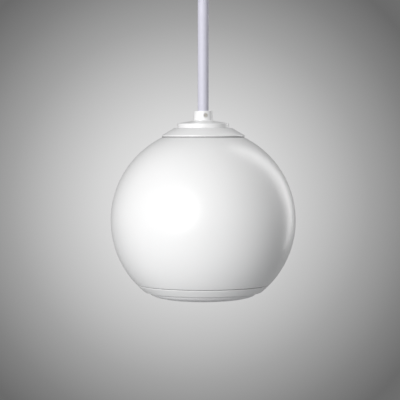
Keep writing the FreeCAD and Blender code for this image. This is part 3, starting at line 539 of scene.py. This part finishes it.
def makeTinsel():
    # flat silvered copper strips braided over thread: fine crossing strands
    material, tree, shader, spot = startMaterial("braidedTinsel", Metallic=1.0, Roughness=0.34)
    strands = cells(tree, spot, 0.25 * mm)
    tint(tree, shader, strands, "#A8795A", "#D6C3AF")
    relief(tree, shader, strands, 0.08 * mm, 0.9)
    return material


def makeTinnedBrass():
    # stamped brass with bright tin: slightly warm, wiped by its tool
    material, tree, shader, spot = startMaterial("tinnedBrass", Metallic=1.0)
    wiped = noise(tree, spot, 0.5 * mm, (1, 1, 12), 3.0)
    tint(tree, shader, wiped, "#BDB9AA", "#D6D3C8")
    tree.links.new(spread(tree, wiped, 0.25, 0.42), shader.inputs["Roughness"])
    return material


# finishes of plastic, rubber, paper and cloth
def makeNylon():
    # moulded nylon in its natural colour: a soft waxy satin, fine mould grain
    material, tree, shader, spot = startMaterial("naturalNylon", Roughness=0.45, IOR=1.53,
                                                 Subsurface_Weight=0.08, Subsurface_Scale=0.6 * mm)
    grain = noise(tree, spot, 0.7 * mm)
    tint(tree, shader, grain, "#DEDDD4", "#E8E7DF")
    relief(tree, shader, grain, 0.02 * mm, 0.3)
    return material


def makeWireSleeve(name, first, second):
    # coloured PVC drawn over stranded wire: glossy, with the lay of the strands just showing through
    material, tree, shader, spot = startMaterial(name, Roughness=0.3, IOR=1.53)
    lay = noise(tree, spot, 0.6 * mm, (1, 1, 6), 2.0)
    tint(tree, shader, lay, first, second)
    relief(tree, shader, lay, 0.04 * mm, 0.5)
    return material


def makeRubber():
    # black nitrile rubber: matt, with a bloom that greys it in patches
    material, tree, shader, spot = startMaterial("blackNitrileRubber", Roughness=0.62, IOR=1.52)
    bloom = noise(tree, spot, 6 * mm, detail=4.0)
    tint(tree, shader, bloom, "#161618", "#242426")
    relief(tree, shader, noise(tree, spot, 0.25 * mm), 0.02 * mm, 0.4)
    return material


def makeFoam():
    # open cell polyurethane foam: charcoal, pitted with small cells
    material, tree, shader, spot = startMaterial("openCellFoam", Roughness=0.95, IOR=1.45)
    pits = cells(tree, spot, 0.7 * mm)
    tint(tree, shader, pits, "#2B2B2D", "#0C0C0D")
    relief(tree, shader, pits, 0.25 * mm, 1.0)
    return material


def makeBatting():
    # bonded polyester batting: off-white crossing fibres that catch the light one by one
    material, tree, shader, spot = startMaterial("polyesterBatting", Roughness=0.9, IOR=1.45,
                                                 Sheen_Weight=0.5, Sheen_Roughness=0.5)
    fibres = noise(tree, spot, 0.5 * mm, (14, 1, 1), 4.0)
    crossing = noise(tree, spot, 0.5 * mm, (1, 12, 2), 4.0)
    both = addNode(tree, "ShaderNodeMath", {0: fibres, 1: crossing}, operation="MAXIMUM").outputs[0]
    tint(tree, shader, both, "#BDBCB6", "#EDECE8")
    relief(tree, shader, both, 0.5 * mm, 0.9)
    return material


def makeConePulp():
    # pressed paper pulp dyed dark grey: matt, with short fibres lying every way
    material, tree, shader, spot = startMaterial("dyedPaperPulp", Roughness=0.82, IOR=1.45)
    fibres = noise(tree, spot, 0.35 * mm, (6, 1, 3), 4.0)
    tint(tree, shader, fibres, "#26272A", "#43444A")
    relief(tree, shader, fibres, 0.05 * mm, 0.7)
    return material


def makeCard():
    # black card: flat and even, with a little lint
    material, tree, shader, spot = startMaterial("blackCard", Roughness=0.85, IOR=1.45)
    lint = noise(tree, spot, 0.3 * mm, (5, 1, 1), 3.0)
    tint(tree, shader, lint, "#1E1E1F", "#333334")
    relief(tree, shader, lint, 0.03 * mm, 0.5)
    return material


def makeSpiderCloth():
    # cotton weave stiffened with phenolic resin: amber, with threads that cross at right angles, drawn
    # coarser than the real 0.45 mm between them
    material, tree, shader, spot = startMaterial("resinedCottonWeave", Roughness=0.6, IOR=1.5,
                                                 Sheen_Weight=0.15)
    threadsApart = 2.776 * mm
    threads = []
    # at a scale of 1 the bands of a wave texture are tau / 20 apart
    for direction in ("X", "Y"):
        wave = addNode(tree, "ShaderNodeTexWave",
                       {"Vector": spot, "Scale": math.tau / (20 * threadsApart), "Distortion": 0.4,
                        "Detail": 1.0},
                       wave_type="BANDS", bands_direction=direction)
        threads.append(wave.outputs["Fac"])
    weave = addNode(tree, "ShaderNodeMath", {0: threads[0], 1: threads[1]}, operation="MAXIMUM").outputs[0]
    tint(tree, shader, weave, "#6E4F22", "#B98C4B")
    relief(tree, shader, weave, 0.12 * mm, 0.9)
    return material


def makePaperBoard():
    # phenolic paper board: brown, pressed from sheets, with a slight sheen
    material, tree, shader, spot = startMaterial("phenolicPaperBoard", Roughness=0.48, IOR=1.55)
    sheets = noise(tree, spot, 0.35 * mm, (20, 20, 1), 3.0)
    tint(tree, shader, sheets, "#4A2C17", "#6B4426")
    relief(tree, shader, sheets, 0.02 * mm, 0.5)
    return material


# ball: a spun shell with a lip turned in at its mouth
ballSettings = {"wall": 1.2 * mm, "segments": 160, "rings": 96, "lipHole": 37.5 * mm, "edge": 0.25 * mm,
                "screwRing": 39.9 * mm, "screwHole": 1.3 * mm}


def makeBall(paint):
    settings = ballSettings
    ball = startPiece(bpy.ops.mesh.primitive_uv_sphere_add, "ball", segments=settings["segments"],
                      ring_count=settings["rings"], radius=ballRadius, location=(0, 0, ballCentre))
    openMesh(ball, "SELECT")
    bpy.ops.mesh.bisect(plane_co=(0, 0, ballHigh.z), plane_no=(0, 0, 1), clear_outer=True)
    bpy.ops.mesh.select_all(action="SELECT")
    bpy.ops.mesh.bisect(plane_co=(0, 0, mouthHeight), plane_no=(0, 0, 1), clear_inner=True)
    pickPoints(ball, lambda spot: spot.z < mouthHeight + mm / 100)
    mouthRadius = math.sqrt(ballRadius**2 - (ballCentre - mouthHeight) ** 2)
    widen(settings["lipHole"] / mouthRadius, bpy.ops.mesh.extrude_region_move)
    mergeMesh()
    finishWith(ball, "SOLIDIFY", thickness=settings["wall"], offset=-1, use_even_offset=True)
    roundEdges(ball, settings["edge"], angle=40)
    ringRadius = settings["screwRing"]
    below, above = mouthHeight - settings["wall"], mouthHeight + 2 * settings["wall"]
    drill = makeDrill(settings["screwHole"], (ringRadius, 0, below), (ringRadius, 0, above))
    cutWith(ball, repeatRound(drill, 4))
    smooth(ball, 35)
    dress(ball, paint, "white_paint", "ball_shell")


# bezel: the ring that carries the ball's outline on below the seam
bezelSettings = {"skirt": 42.45 * mm, "pocket": 39.35 * mm, "opening": 36.7 * mm, "ledge": 1.3 * mm,
                 "topEdge": 0.9 * mm, "seam": 0.4 * mm, "brow": 0.2 * mm, "lip": 0.3 * mm}


def makeBezel(paint):
    settings = bezelSettings
    top, low = mouthHeight - settings["seam"], bezelLow.z
    ledge = low + settings["ledge"]
    outline = spherePoints(ballRadius, low - settings["brow"], top, 10)
    outline += [(settings["skirt"], top), (settings["skirt"], frameFront), (settings["pocket"], frameFront),
                (settings["pocket"], ledge), (settings["opening"], ledge),
                (settings["opening"], low - settings["lip"])]
    bezel = turnPiece("bezel", outline, 160)
    roundEdges(bezel, settings["topEdge"], 4, 20)
    smooth(bezel, 35)
    dress(bezel, paint, "white_paint", "bezel_ring")


# grille: a domed steel sheet with a fine triangular pattern of round holes
grilleSettings = {"wall": 0.8 * mm, "rim": 39.2 * mm, "ledge": 1.3 * mm, "pitch": 1.75 * mm,
                  "hole": 0.52 * mm, "pattern": 34.7 * mm,
                  "border": (35.8 * mm, 36.0 * mm, 36.2 * mm, 36.4 * mm),
                  "depth": 6.5 * mm, "rise": 6.0 * mm, "shoulder": 36.6 * mm, "fullness": 0.385,
                  "startBelow": 5 * mm}


def makeHoleCell(pitch, hole):
    # a round hole in a hexagon, which has a point in the middle of each side too
    cell = startPiece(bpy.ops.mesh.primitive_circle_add, "grille_dome", vertices=12, radius=hole)
    openMesh(cell, "SELECT")
    widen(pitch / math.sqrt(3) / hole, bpy.ops.mesh.extrude_edges_move)
    flat = math.cos(math.pi / 6)
    pickPoints(cell, lambda spot: spot.length > 1.1 * hole
               and round(math.degrees(math.atan2(spot.x, spot.y)) / 30) % 2 == 1)
    bpy.ops.transform.resize(value=(flat, flat, 1), center_override=(0, 0, 0))
    closeMesh()
    return cell


def makeGrille(paint):
    settings = grilleSettings
    pitch, pattern = settings["pitch"], settings["pattern"]
    rowPitch = pitch * math.sqrt(3) / 2
    cell = makeHoleCell(pitch, settings["hole"])
    rows = []
    for row in range(-int(pattern / rowPitch), int(pattern / rowPitch) + 1):
        reach = math.sqrt(pattern**2 - (row * rowPitch) ** 2)
        shift = pitch / 2 if row % 2 else 0
        first = math.ceil((-reach - shift) / pitch)
        count = math.floor((reach - shift) / pitch) - first + 1
        strip = copyPiece(cell, shift=(first * pitch + shift, row * rowPitch, 0))
        finishWith(strip, "ARRAY", count=count, use_relative_offset=False, use_constant_offset=True,
                   constant_offset_displace=(pitch, 0, 0))
        rows.append(strip)
    bpy.data.objects.remove(cell)
    rim = startPiece(bpy.ops.mesh.primitive_circle_add, "rim", vertices=160, radius=settings["border"][0])
    grille = joinPieces(rows + [rim])
    grille.name = grille.data.name = "grille_dome"
    openMesh(grille, "SELECT")
    bpy.ops.mesh.remove_doubles(threshold=mm / 50)
    # the plain border between the pattern's ragged edge and the rim is filled in
    holeSide = 2 * settings["hole"] * math.sin(math.pi / 12)
    pickEdges(grille, lambda edge: len(edge.link_faces) < 2 and edge.calc_length() > 1.2 * holeSide)
    bpy.ops.mesh.fill(use_beauty=True)
    # and carried on by narrow rings, so that the shoulder can turn
    border = settings["border"]
    pickEdges(grille, lambda edge: len(edge.link_faces) < 2
              and edge.verts[0].co.length > border[0] - mm / 50)
    for here, there in zip(border, border[1:]):
        widen(there / here, bpy.ops.mesh.extrude_edges_move)
    bpy.ops.mesh.select_all(action="SELECT")
    bpy.ops.transform.translate(value=(0, 0, grilleLow.z - settings["startBelow"]))
    closeMesh()
    # the dome is a flattish cap that turns up steeply at its shoulder
    dome, wide = border[-1], settings["shoulder"]

    def dropAt(across):
        return settings["rise"] * (1 - (across / wide) ** 2) ** settings["fullness"]

    base, steps = grilleLow.z + settings["depth"], 60
    spots = [wide * math.sin(math.pi / 2 * step / steps) for step in range(steps + 1)]
    form = turnPiece("form", [(across, base - dropAt(across)) for across in spots], 160, closed=False)
    finishWith(grille, "SHRINKWRAP", target=form, wrap_method="PROJECT", use_project_z=True,
               use_positive_direction=True, use_negative_direction=False)
    bpy.data.objects.remove(form)
    openMesh(grille)
    pickPoints(grille, lambda spot: spot.xy.length > dome - mm / 10)
    wallHeight = dropAt(dome) + settings["ledge"]
    bpy.ops.mesh.extrude_region_move(TRANSFORM_OT_translate={"value": (0, 0, wallHeight)})
    widen(settings["rim"] / dome, bpy.ops.mesh.extrude_region_move)
    bpy.ops.mesh.select_all(action="SELECT")
    bpy.ops.mesh.normals_make_consistent(inside=False)
    shape = bmesh.from_edit_mesh(grille.data)
    lowest = min(shape.faces, key=lambda face: face.calc_center_median().z)
    if lowest.normal.z > 0:
        bpy.ops.mesh.flip_normals()
    closeMesh()
    finishWith(grille, "SOLIDIFY", thickness=settings["wall"], offset=-1, use_even_offset=True)
    smooth(grille, 40)
    dress(grille, paint, "grille_paint", "grille")


# cap, flange and gasket on top of the ball
capSettings = {"bore": 3.85 * mm, "stem": 8.0 * mm, "disc": 17.6 * mm, "wall": 3.0 * mm, "rise": 2.1 * mm,
               "collar": 6.5 * mm, "collarHeight": 6.6 * mm, "edge": 0.35 * mm, "screwHole": 1.52 * mm,
               "drillFrom": 2.0 * mm, "drillTo": 10.0 * mm,
               "threadPitch": 1.5 * mm, "threadDepth": 0.35 * mm, "threadTop": 57.4 * mm}


def threadPoints(radius, low, high, pitch, depth):
    # an outline from the bottom up: the root, and the start and end of the crest, once in each pitch
    shares = ((depth, 0.1), (0, 0.45), (0, 0.65))
    return [(radius - cut, low + (turn + share) * pitch)
            for turn in range(int((high - low) / pitch)) for cut, share in shares]


def makeCap(paint):
    settings = capSettings
    top = capHigh.z
    base = top - settings["collarHeight"]
    discTop = base - settings["rise"]
    discLow = discTop - settings["wall"]
    bore, stem = settings["bore"], settings["stem"]
    threadTop = ballCentre + settings["threadTop"]
    corners = [(settings["disc"], discLow), (settings["disc"], discTop), (settings["collar"], base),
               (settings["collar"], top), (bore, top)]
    outline = [(bore, capLow.z)]
    outline += threadPoints(stem, capLow.z, threadTop, settings["threadPitch"], settings["threadDepth"])
    outline += [(stem, threadTop), (stem, discLow)] + corners
    cap = turnPiece("cable_cap_turned", outline, 128)

    def atCorner(edge):
        # whether an edge runs round the cap at one of its outer corners
        first, second = (end.co for end in edge.verts)
        return abs(first.z - second.z) < mm / 1000 and any(
            abs(first.xy.length - radius) < mm / 100 and abs(second.xy.length - radius) < mm / 100
            and abs(first.z - height) < mm / 100 for radius, height in corners)

    openMesh(cap)
    pickEdges(cap, atCorner)
    bpy.ops.mesh.bevel(offset=settings["edge"], segments=4, affect="EDGES")
    closeMesh()
    screwLow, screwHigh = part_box("set_screw")
    middle = (screwLow + screwHigh) / 2
    outward = Vector((middle.x, middle.y, 0)).normalized()
    start, end = outward * settings["drillFrom"], outward * settings["drillTo"]
    start.z = end.z = middle.z
    cutWith(cap, makeDrill(settings["screwHole"], start, end, 40))
    smooth(cap, 30)
    dress(cap, paint, "white_paint", "cable_cap")


flangeSettings = {"hole": 8.3 * mm, "wall": 1.2 * mm, "top": 19.8 * mm, "rim": 0.9 * mm, "lap": 4.0 * mm,
                  "gasket": 0.5 * mm, "gasketInset": 0.35 * mm, "gap": 0.05 * mm, "edge": 0.25 * mm,
                  "gasketEdge": 0.1 * mm}


def makeFlange(paint, rubber):
    settings = flangeSettings
    radius, seat = flangeHigh.x, ballRadius + settings["gasket"]
    lap = radius - settings["lap"]
    under = flangeHigh.z - settings["wall"]
    outline = [(settings["hole"], under), (settings["top"] - settings["wall"] / 2, under)]
    outline += spherePoints(seat, sphereHeight(seat, lap), flangeLow.z, 6)
    outline += [(radius, flangeLow.z + settings["rim"]), (settings["top"], flangeHigh.z),
                (settings["hole"], flangeHigh.z)]
    flange = turnPiece("flange", outline, 128)
    roundEdges(flange, settings["edge"], 3, 20)
    smooth(flange, 30)
    dress(flange, paint, "white_paint", "top_cone")
    inner, outer = lap + settings["gasketInset"], radius - settings["gasketInset"]
    low, high = ballRadius + settings["gap"], seat - settings["gap"]
    outline = spherePoints(low, sphereHeight(low, inner), sphereHeight(low, outer), 6)
    outline += spherePoints(high, sphereHeight(high, outer), sphereHeight(high, inner), 6)
    gasket = turnPiece("flange_gasket", outline, 128)
    roundEdges(gasket, settings["gasketEdge"], 2, 50)
    smooth(gasket, 40)
    dress(gasket, rubber, "black_rubber", "cone_gasket")


# flat rings that seal the driver and the grille, with heights from the ball's centre, in millimetres
ringEdge, sealHole = 0.15, 1.4
ringSettings = {
    "driver_seal": {"inner": 37.5, "outer": 42.3, "low": -44.35, "high": -43.75, "node": "driver_gasket"},
    "grille_foam": {"inner": 36.7, "outer": 39.2, "low": -47.1, "high": -45.95, "node": "grille_gasket"},
    "surround_card": {"inner": 34.15, "outer": 35.85, "low": -45.95, "high": -43.5, "node": "rim_gasket"},
}


def makeRings(finishes):
    for name, settings in ringSettings.items():
        low, high = ballCentre + settings["low"] * mm, ballCentre + settings["high"] * mm
        inner, outer = settings["inner"] * mm, settings["outer"] * mm
        ring = turnPiece(name, [(inner, low), (outer, low), (outer, high), (inner, high)], 160)
        roundEdges(ring, ringEdge * mm, 2)
        if name == "driver_seal":
            radius = ballSettings["screwRing"]
            drill = makeDrill(sealHole * mm, (radius, 0, low - mm), (radius, 0, high + mm))
            cutWith(ring, repeatRound(drill, 4))
        smooth(ring, 40)
        material, slot = finishes[name]
        dress(ring, material, slot, settings["node"])


# wadding: a thick fluffy liner in the upper half of the ball
waddingSettings = {"gap": 0.3 * mm, "thick": 10 * mm, "low": -5 * mm, "opening": 20 * mm, "edge": 2.5 * mm,
                   "fluff": 1.6 * mm, "tuft": 9 * mm}


def makeWadding(batting):
    settings = waddingSettings
    outer = ballRadius - ballSettings["wall"] - settings["gap"]
    inner = outer - settings["thick"]
    low = ballCentre + settings["low"]
    opening = settings["opening"]
    high, top = sphereHeight(inner, opening), sphereHeight(outer, opening)
    outline = spherePoints(inner, high, low, 24) + spherePoints(outer, low, top, 28)
    outline += [(opening, (top + high) / 2)]
    wadding = turnPiece("damping_wadding", outline, 128)
    roundEdges(wadding, settings["edge"], 3, 50)
    # the open side is drawn in and out by soft tufts, and the side on the shell stays put
    loose = wadding.vertex_groups.new(name="loose")
    shell = outer - mm
    free = [point.index for point in wadding.data.vertices
            if (point.co - Vector((0, 0, ballCentre))).length < shell - settings["thick"] / 3]
    loose.add(free, 1.0, "REPLACE")
    tufts = bpy.data.textures.new("tufts", "CLOUDS")
    tufts.noise_scale = settings["tuft"]
    tufts.noise_depth = 3
    finishWith(wadding, "DISPLACE", texture=tufts, texture_coords="LOCAL", strength=settings["fluff"],
               mid_level=1.0, vertex_group="loose")
    finishWith(wadding, "SUBSURF", levels=1, render_levels=1)
    smooth(wadding, 60)
    dress(wadding, batting, "wadding", "wadding")


# driver: cone, dust cap, voice coil, surround and spider, with heights from the ball's centre
coneSettings = {"landing": -43.0 * mm, "neck": -32.5 * mm, "bore": 10.3 * mm, "lip": 26.8 * mm,
                "edge": 28.6 * mm, "paper": 0.4 * mm, "collar": 1.2 * mm, "ribs": 3, "rib": 0.22 * mm}
turnSteps = 160


def makeCone(pulp):
    # a straight cone with pressed ribs, a collar for the coil former and a flat lip for the surround
    settings = coneSettings
    landing, neck = ballCentre + settings["landing"], ballCentre + settings["neck"]
    paper, bore, lip = settings["paper"], settings["bore"], settings["lip"]

    def skin(across, height):
        # a point on the cone's slope, lifted by the ribs that run round it
        share = (across - bore) / (lip - bore)
        wave = max(0.0, math.sin(share * math.pi * (2 * settings["ribs"] + 1))) ** 3
        return across, height + (landing - neck + paper) * share - settings["rib"] * wave

    steps = 42
    spots = [bore + (lip - bore) * step / steps for step in range(steps + 1)]
    outline = [skin(across, neck - paper) for across in spots]
    outline += [(settings["edge"], landing), (settings["edge"], landing + paper)]
    outline += [skin(across, neck) for across in reversed(spots[2:])]
    outline += [(bore + paper, neck + settings["collar"]), (bore, neck + settings["collar"])]
    cone = turnPiece("paper_cone", outline, turnSteps)
    smooth(cone, 40)
    dress(cone, pulp, "cone_paper", "cone", body="diaphragm")


dustCapSettings = {"radius": 12.4 * mm, "rise": 4.1 * mm, "base": -34.285 * mm, "edge": 0.1 * mm}


def makeDustCap(pulp):
    settings = dustCapSettings
    rise, radius = settings["rise"], settings["radius"]
    curve = (radius**2 + rise**2) / (2 * rise)
    side = math.degrees(math.asin(radius / curve))
    middle = (0, ballCentre + settings["base"] - rise + curve)
    outline = arcPoints(middle, curve, -90 + side, -90, 16)
    outline += arcPoints(middle, curve - coneSettings["paper"], -90, -90 + side, 16)
    dome = turnPiece("dust_dome", outline, turnSteps)
    roundEdges(dome, settings["edge"], 2, 60)
    smooth(dome, 40)
    dress(dome, pulp, "cone_paper", "dust_cap", body="diaphragm")


coilSettings = {"inner": 10.2 * mm, "low": -25.0 * mm, "wire": 0.25 * mm, "windings": 28,
                "layer": 0.35 * mm}


def makeCoil(copper):
    # the winding, one ridge for each turn of wire
    settings = coilSettings
    inner, low = settings["inner"], ballCentre + settings["low"]
    radius = settings["wire"] / 2
    outline = [(inner, low)]
    for turn in range(settings["windings"]):
        middle = (inner + settings["layer"] - radius, low + (2 * turn + 1) * radius)
        outline += arcPoints(middle, radius, -75, 75, 3)
    outline += [(inner, low + settings["windings"] * settings["wire"])]
    coil = turnPiece("coil_winding", outline, 96)
    smooth(coil, 60)
    dress(coil, copper, "copper", "voice_coil", body="diaphragm")


surroundSettings = {"middle": 31.3 * mm, "half": 2.35 * mm, "radius": 2.5 * mm, "wall": 0.5 * mm,
                    "edge": 35.85 * mm, "still": 34 * mm}


def makeSurround(rubber):
    # a half roll of rubber between the frame's landing and the cone
    settings = surroundSettings
    high, wall, lip = ballCentre + coneSettings["landing"], settings["wall"], coneSettings["lip"]
    half, radius = settings["half"], settings["radius"]
    lift = math.sqrt(radius**2 - half**2)
    middle = (settings["middle"], high + lift)
    side = math.degrees(math.atan2(-lift, half))
    foot = math.degrees(math.asin(-(lift + wall) / (radius + wall)))
    outline = [(settings["edge"], high - wall), (settings["edge"], high)]
    outline += arcPoints(middle, radius, side, -180 - side, 16)
    outline += [(lip, high), (lip, high - wall)]
    outline += arcPoints(middle, radius + wall, -180 - foot, foot, 18)
    surround = turnPiece("roll_surround", outline, turnSteps)
    smooth(surround, 45)
    dress(surround, rubber, "black_rubber", "surround", body=None)
    stretchBetween(surround, settings["still"], coneSettings["edge"])


spiderSettings = {"edge": 24.5 * mm, "height": -28.5 * mm, "cloth": 0.5 * mm, "waveStart": 12.5 * mm,
                  "wavePitch": 1.6 * mm, "waves": 6, "waveRise": 0.5 * mm, "still": 22.4 * mm}


def makeSpider(cloth):
    # a stiffened cloth disc with round waves pressed into it
    settings = spiderSettings
    high, low = ballCentre + settings["height"], ballCentre + settings["height"] - settings["cloth"]
    bore, edge, steps = coneSettings["bore"], settings["edge"], 8
    spots = []
    for step in range(steps * settings["waves"] + 1):
        along = step / steps
        spots.append((settings["waveStart"] + settings["wavePitch"] * along,
                      settings["waveRise"] * math.sin(math.pi * along)))
    outline = [(bore, low)] + [(across, low + up) for across, up in spots] + [(edge, low), (edge, high)]
    outline += [(across, high + up) for across, up in reversed(spots)] + [(bore, high)]
    spider = turnPiece("corrugated_spider", outline, 144)
    smooth(spider, 45)
    dress(spider, cloth, "treated_cloth", "spider", body=None)
    stretchBetween(spider, settings["still"], settings["waveStart"])


# screws: turned, threaded, with a cross recess
screwSettings = {
    "driver_screw_set": {"radius": 1.25 * mm, "length": 5.0 * mm, "head": 2.1 * mm, "high": 1.0 * mm,
                         "recess": 0.7 * mm, "flat": True},
    "cup_screw_pair": {"radius": 1.5 * mm, "length": 7.0 * mm, "head": 3.0 * mm, "high": 1.8 * mm,
                       "recess": 1.638 * mm, "flat": False},
}
screwThread = {"pitch": 0.5 * mm, "depth": 0.2 * mm, "afterHead": 0.2 * mm, "beforeTip": 0.3 * mm}
# the recess's arms and the pan head's shoulders, as shares of the head's radius and height
recessLong, recessThin = 1.1, 0.24
panShoulders = ((0.55, 0.88), (0.88, 0.55))


def makeScrew(name):
    # a screw that points up from its head, with the head's seat or flat face at the origin
    settings, thread = screwSettings[name], screwThread
    radius, length, head, high = (settings[size] for size in ("radius", "length", "head", "high"))
    if settings["flat"]:
        outline = [(0, 0), (head, 0), (radius, high)]
        face, start = 0, high
    else:
        outline = [(0, -high)] + [(wide * head, -tall * high) for wide, tall in panShoulders]
        outline += [(head, 0), (radius, 0)]
        face, start = -high, thread["afterHead"]
    outline += threadPoints(radius, start, length - thread["beforeTip"], thread["pitch"], thread["depth"])
    outline += [(radius - thread["depth"], length), (0, length)]
    screw = turnPiece(name, outline, 40)
    long, thin = recessLong * head, recessThin * head
    for across, back in ((long, thin), (thin, long)):
        bar = startPiece(bpy.ops.mesh.primitive_cube_add, "bar", size=1)
        openMesh(bar, "SELECT")
        bpy.ops.transform.resize(value=(across, back, 2 * settings["recess"]), center_override=(0, 0, 0))
        bpy.ops.transform.translate(value=(0, 0, face))
        closeMesh()
        cutWith(screw, bar)
    return screw


def setScrews(screw, place, count, zinc, node):
    # puts a screw in its place, and the others round the axis
    screw.data.transform(place)
    screws = repeatRound(screw, count)
    smooth(screws, 35)
    return dress(screws, zinc, "steel", node)


def makeScrews(zinc):
    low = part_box("driver_screws")[0]
    place = Matrix.Translation((ballSettings["screwRing"], 0, low.z))
    setScrews(makeScrew("driver_screw_set"), place, 4, zinc, "driver_screws")
    low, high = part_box("cup_screws")
    place = Matrix.Translation((0, cupSettings["radius"], (low.z + high.z) / 2))
    place @= Matrix.Rotation(math.pi / 2, 4, "X")
    return setScrews(makeScrew("cup_screw_pair"), place, 2, zinc, "cup_screws")


# ferrules crimped on the cable, above the ceiling grip and below the cap's stem
ferruleSettings = {"bore": 3.8 * mm, "radius": 5.5 * mm, "length": 8.0 * mm, "crimps": (2.4 * mm, 5.6 * mm),
                   "crimpHalf": 0.7 * mm, "crimpDepth": 0.35 * mm, "edge": 0.15 * mm}


def makeFerrules(metal):
    settings = ferruleSettings
    bore, radius, half = settings["bore"], settings["radius"], settings["crimpHalf"]
    waist = radius - settings["crimpDepth"]
    made = []
    for name, node in (("stem_crimp", "cable_ferrule"), ("grip_crimp", "ceiling_ferrule")):
        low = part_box(node)[0].z
        outline = [(bore, low), (radius, low)]
        for crimp in settings["crimps"]:
            middle = low + crimp
            outline += [(radius, middle - half), (waist, middle - half / 2), (waist, middle + half / 2),
                        (radius, middle + half)]
        outline += [(radius, low + settings["length"]), (bore, low + settings["length"])]
        ferrule = turnPiece(name, outline, 96)
        roundEdges(ferrule, settings["edge"], 2, 40)
        smooth(ferrule, 35)
        made.append(dress(ferrule, metal, "ferrule", node))
    return made


# wires: each follows spots measured from the ball's centre or from the ceiling, in millimetres
leadSpots = ((1.3, 0, 36.0), (1.3, 0, 27.0), (5, 20, 14.0), (7, 31, -2.0), (7, 31, -17.1))
tinselSpots = ((3.5, 15, -34.88), (4.5, 18, -33.08), (6, 25, -33.9), (7, 31, -33.1), (7, 31, -28.1))
ceilingSpots = ((0, 1.3, -12.0), (0, 1.3, -6.5), (6.2, 4.5, -6.5), (13.0, 4.5, -6.5))
wires = {
    "red_lead": {"node": "lead_plus", "side": 1, "radius": 1.0, "spots": leadSpots},
    "black_lead": {"node": "lead_minus", "side": -1, "radius": 1.0, "spots": leadSpots},
    "plus_tinsel": {"node": "braid_plus", "side": 1, "radius": 0.5, "spots": tinselSpots},
    "minus_tinsel": {"node": "braid_minus", "side": -1, "radius": 0.5, "spots": tinselSpots},
    "red_ceiling_lead": {"node": "ceiling_lead_plus", "side": 1, "radius": 1.0, "spots": ceilingSpots},
    "black_ceiling_lead": {"node": "ceiling_lead_minus", "side": -1, "radius": 1.0, "spots": ceilingSpots},
}
tinselStill, tinselMoving = 30 * mm, 17 * mm


def makeWire(name, finishes):
    settings = wires[name]
    # the wires in the ball lie left and right, and those at the ceiling lie in front and behind
    if settings["spots"] is ceilingSpots:
        across, back, base = 1, settings["side"], 0
    else:
        across, back, base = settings["side"], 1, ballCentre
    spots = [(across * x * mm, back * y * mm, base + z * mm) for x, y, z in settings["spots"]]
    wire = drawLine(name, spots, settings["radius"] * mm, 5, 10)
    pickOnly(wire)
    bpy.ops.object.convert(target="MESH")
    wire = bpy.context.object
    openMesh(wire)
    mergeMesh()
    smooth(wire, 60)
    bends = settings["spots"] is tinselSpots
    material, slot = finishes["tinsel" if bends else name.split("_")[0]]
    dress(wire, material, slot, settings["node"], body=None if bends else "root")
    if bends:
        stretchBetween(wire, tinselStill, tinselMoving)
    return wire


# ceiling cup: a spun cup that covers the wiring
cupSettings = {"radius": 40 * mm, "depth": 34 * mm, "wall": 1.2 * mm, "edge": 3.0 * mm, "hole": 5.8 * mm,
               "lip": 0.25 * mm, "screwHole": 1.65 * mm, "screwDrop": 8 * mm}


def makeCup(paint):
    settings = cupSettings
    radius, low, wall, edge = settings["radius"], -settings["depth"], settings["wall"], settings["edge"]
    turn = (radius - edge, low + edge)
    outline = [(settings["hole"], low)] + arcPoints(turn, edge, -90, 0, 8)
    outline += [(radius, 0), (radius - wall, 0)] + arcPoints(turn, edge - wall, 0, -90, 8)
    outline += [(settings["hole"], low + wall)]
    cup = turnPiece("ceiling_cup_spun", outline, 144)
    roundEdges(cup, settings["lip"], 2, 50)
    # one drill from side to side makes both screw holes
    reach, drop = 1.2 * radius, -settings["screwDrop"]
    cutWith(cup, makeDrill(settings["screwHole"], (0, -reach, drop), (0, reach, drop)))
    smooth(cup, 35)
    return dress(cup, paint, "white_paint", "ceiling_cup")


# make everything
print("stage")
makeStage()
print("cable")
cable, cableLength = makeCable()
print("housing")
satinPaint, zinc, rubber = makeSatinPaint(), makeZincPlate(), makeRubber()
makeBall(satinPaint)
makeBezel(satinPaint)
print("grille")
makeGrille(makeGrillePaint())
print("top parts")
makeCap(satinPaint)
makeFlange(satinPaint, rubber)
print("rings and wadding")
makeRings({"driver_seal": (rubber, "black_rubber"), "grille_foam": (makeFoam(), "foam"),
           "surround_card": (makeCard(), "card")})
makeWadding(makeBatting())
print("driver")
pulp = makeConePulp()
makeCone(pulp)
makeDustCap(pulp)
makeCoil(makeCopperWire())
makeSurround(rubber)
makeSpider(makeSpiderCloth())
print("screws, ferrules and wires")
cupScrews = makeScrews(zinc)
ferrules = makeFerrules(makeTurnedAluminium())
wireFinishes = {"tinsel": (makeTinsel(), "copper"),
                "red": (makeWireSleeve("redPvcSleeve", "#8E1512", "#A51E19"), "red_sleeve"),
                "black": (makeWireSleeve("blackPvcSleeve", "#151516", "#222224"), "black_sleeve")}
made = [makeWire(name, wireFinishes) for name in wires]
print("ceiling parts and finishes of the packed pieces")
cup = makeCup(satinPaint)
paintNodes(satinPaint, "ceiling_grip")
paintNodes(makeNickelPlate(), "set_screw")
paintNodes(zinc, "ceiling_grip_screw", "ceiling_grip_nut", "ceiling_plate", "clinch_nuts",
           "lock_washer", "stem_nut", "spread_washer", "plate_rivets", "strip_rivet", "terminal_screws",
           "top_plate", "yoke")
paintNodes(makeTurnedAluminium(), "coil_former")
paintNodes(makeTexturedBlack(), "basket")
paintNodes(makeFerrite(), "magnet")
paintNodes(makeTinnedBrass(), "terminal_tabs", "push_connectors")
paintNodes(makePaperBoard(), "terminal_strip")
paintNodes(makeNylon(), "terminal_block")
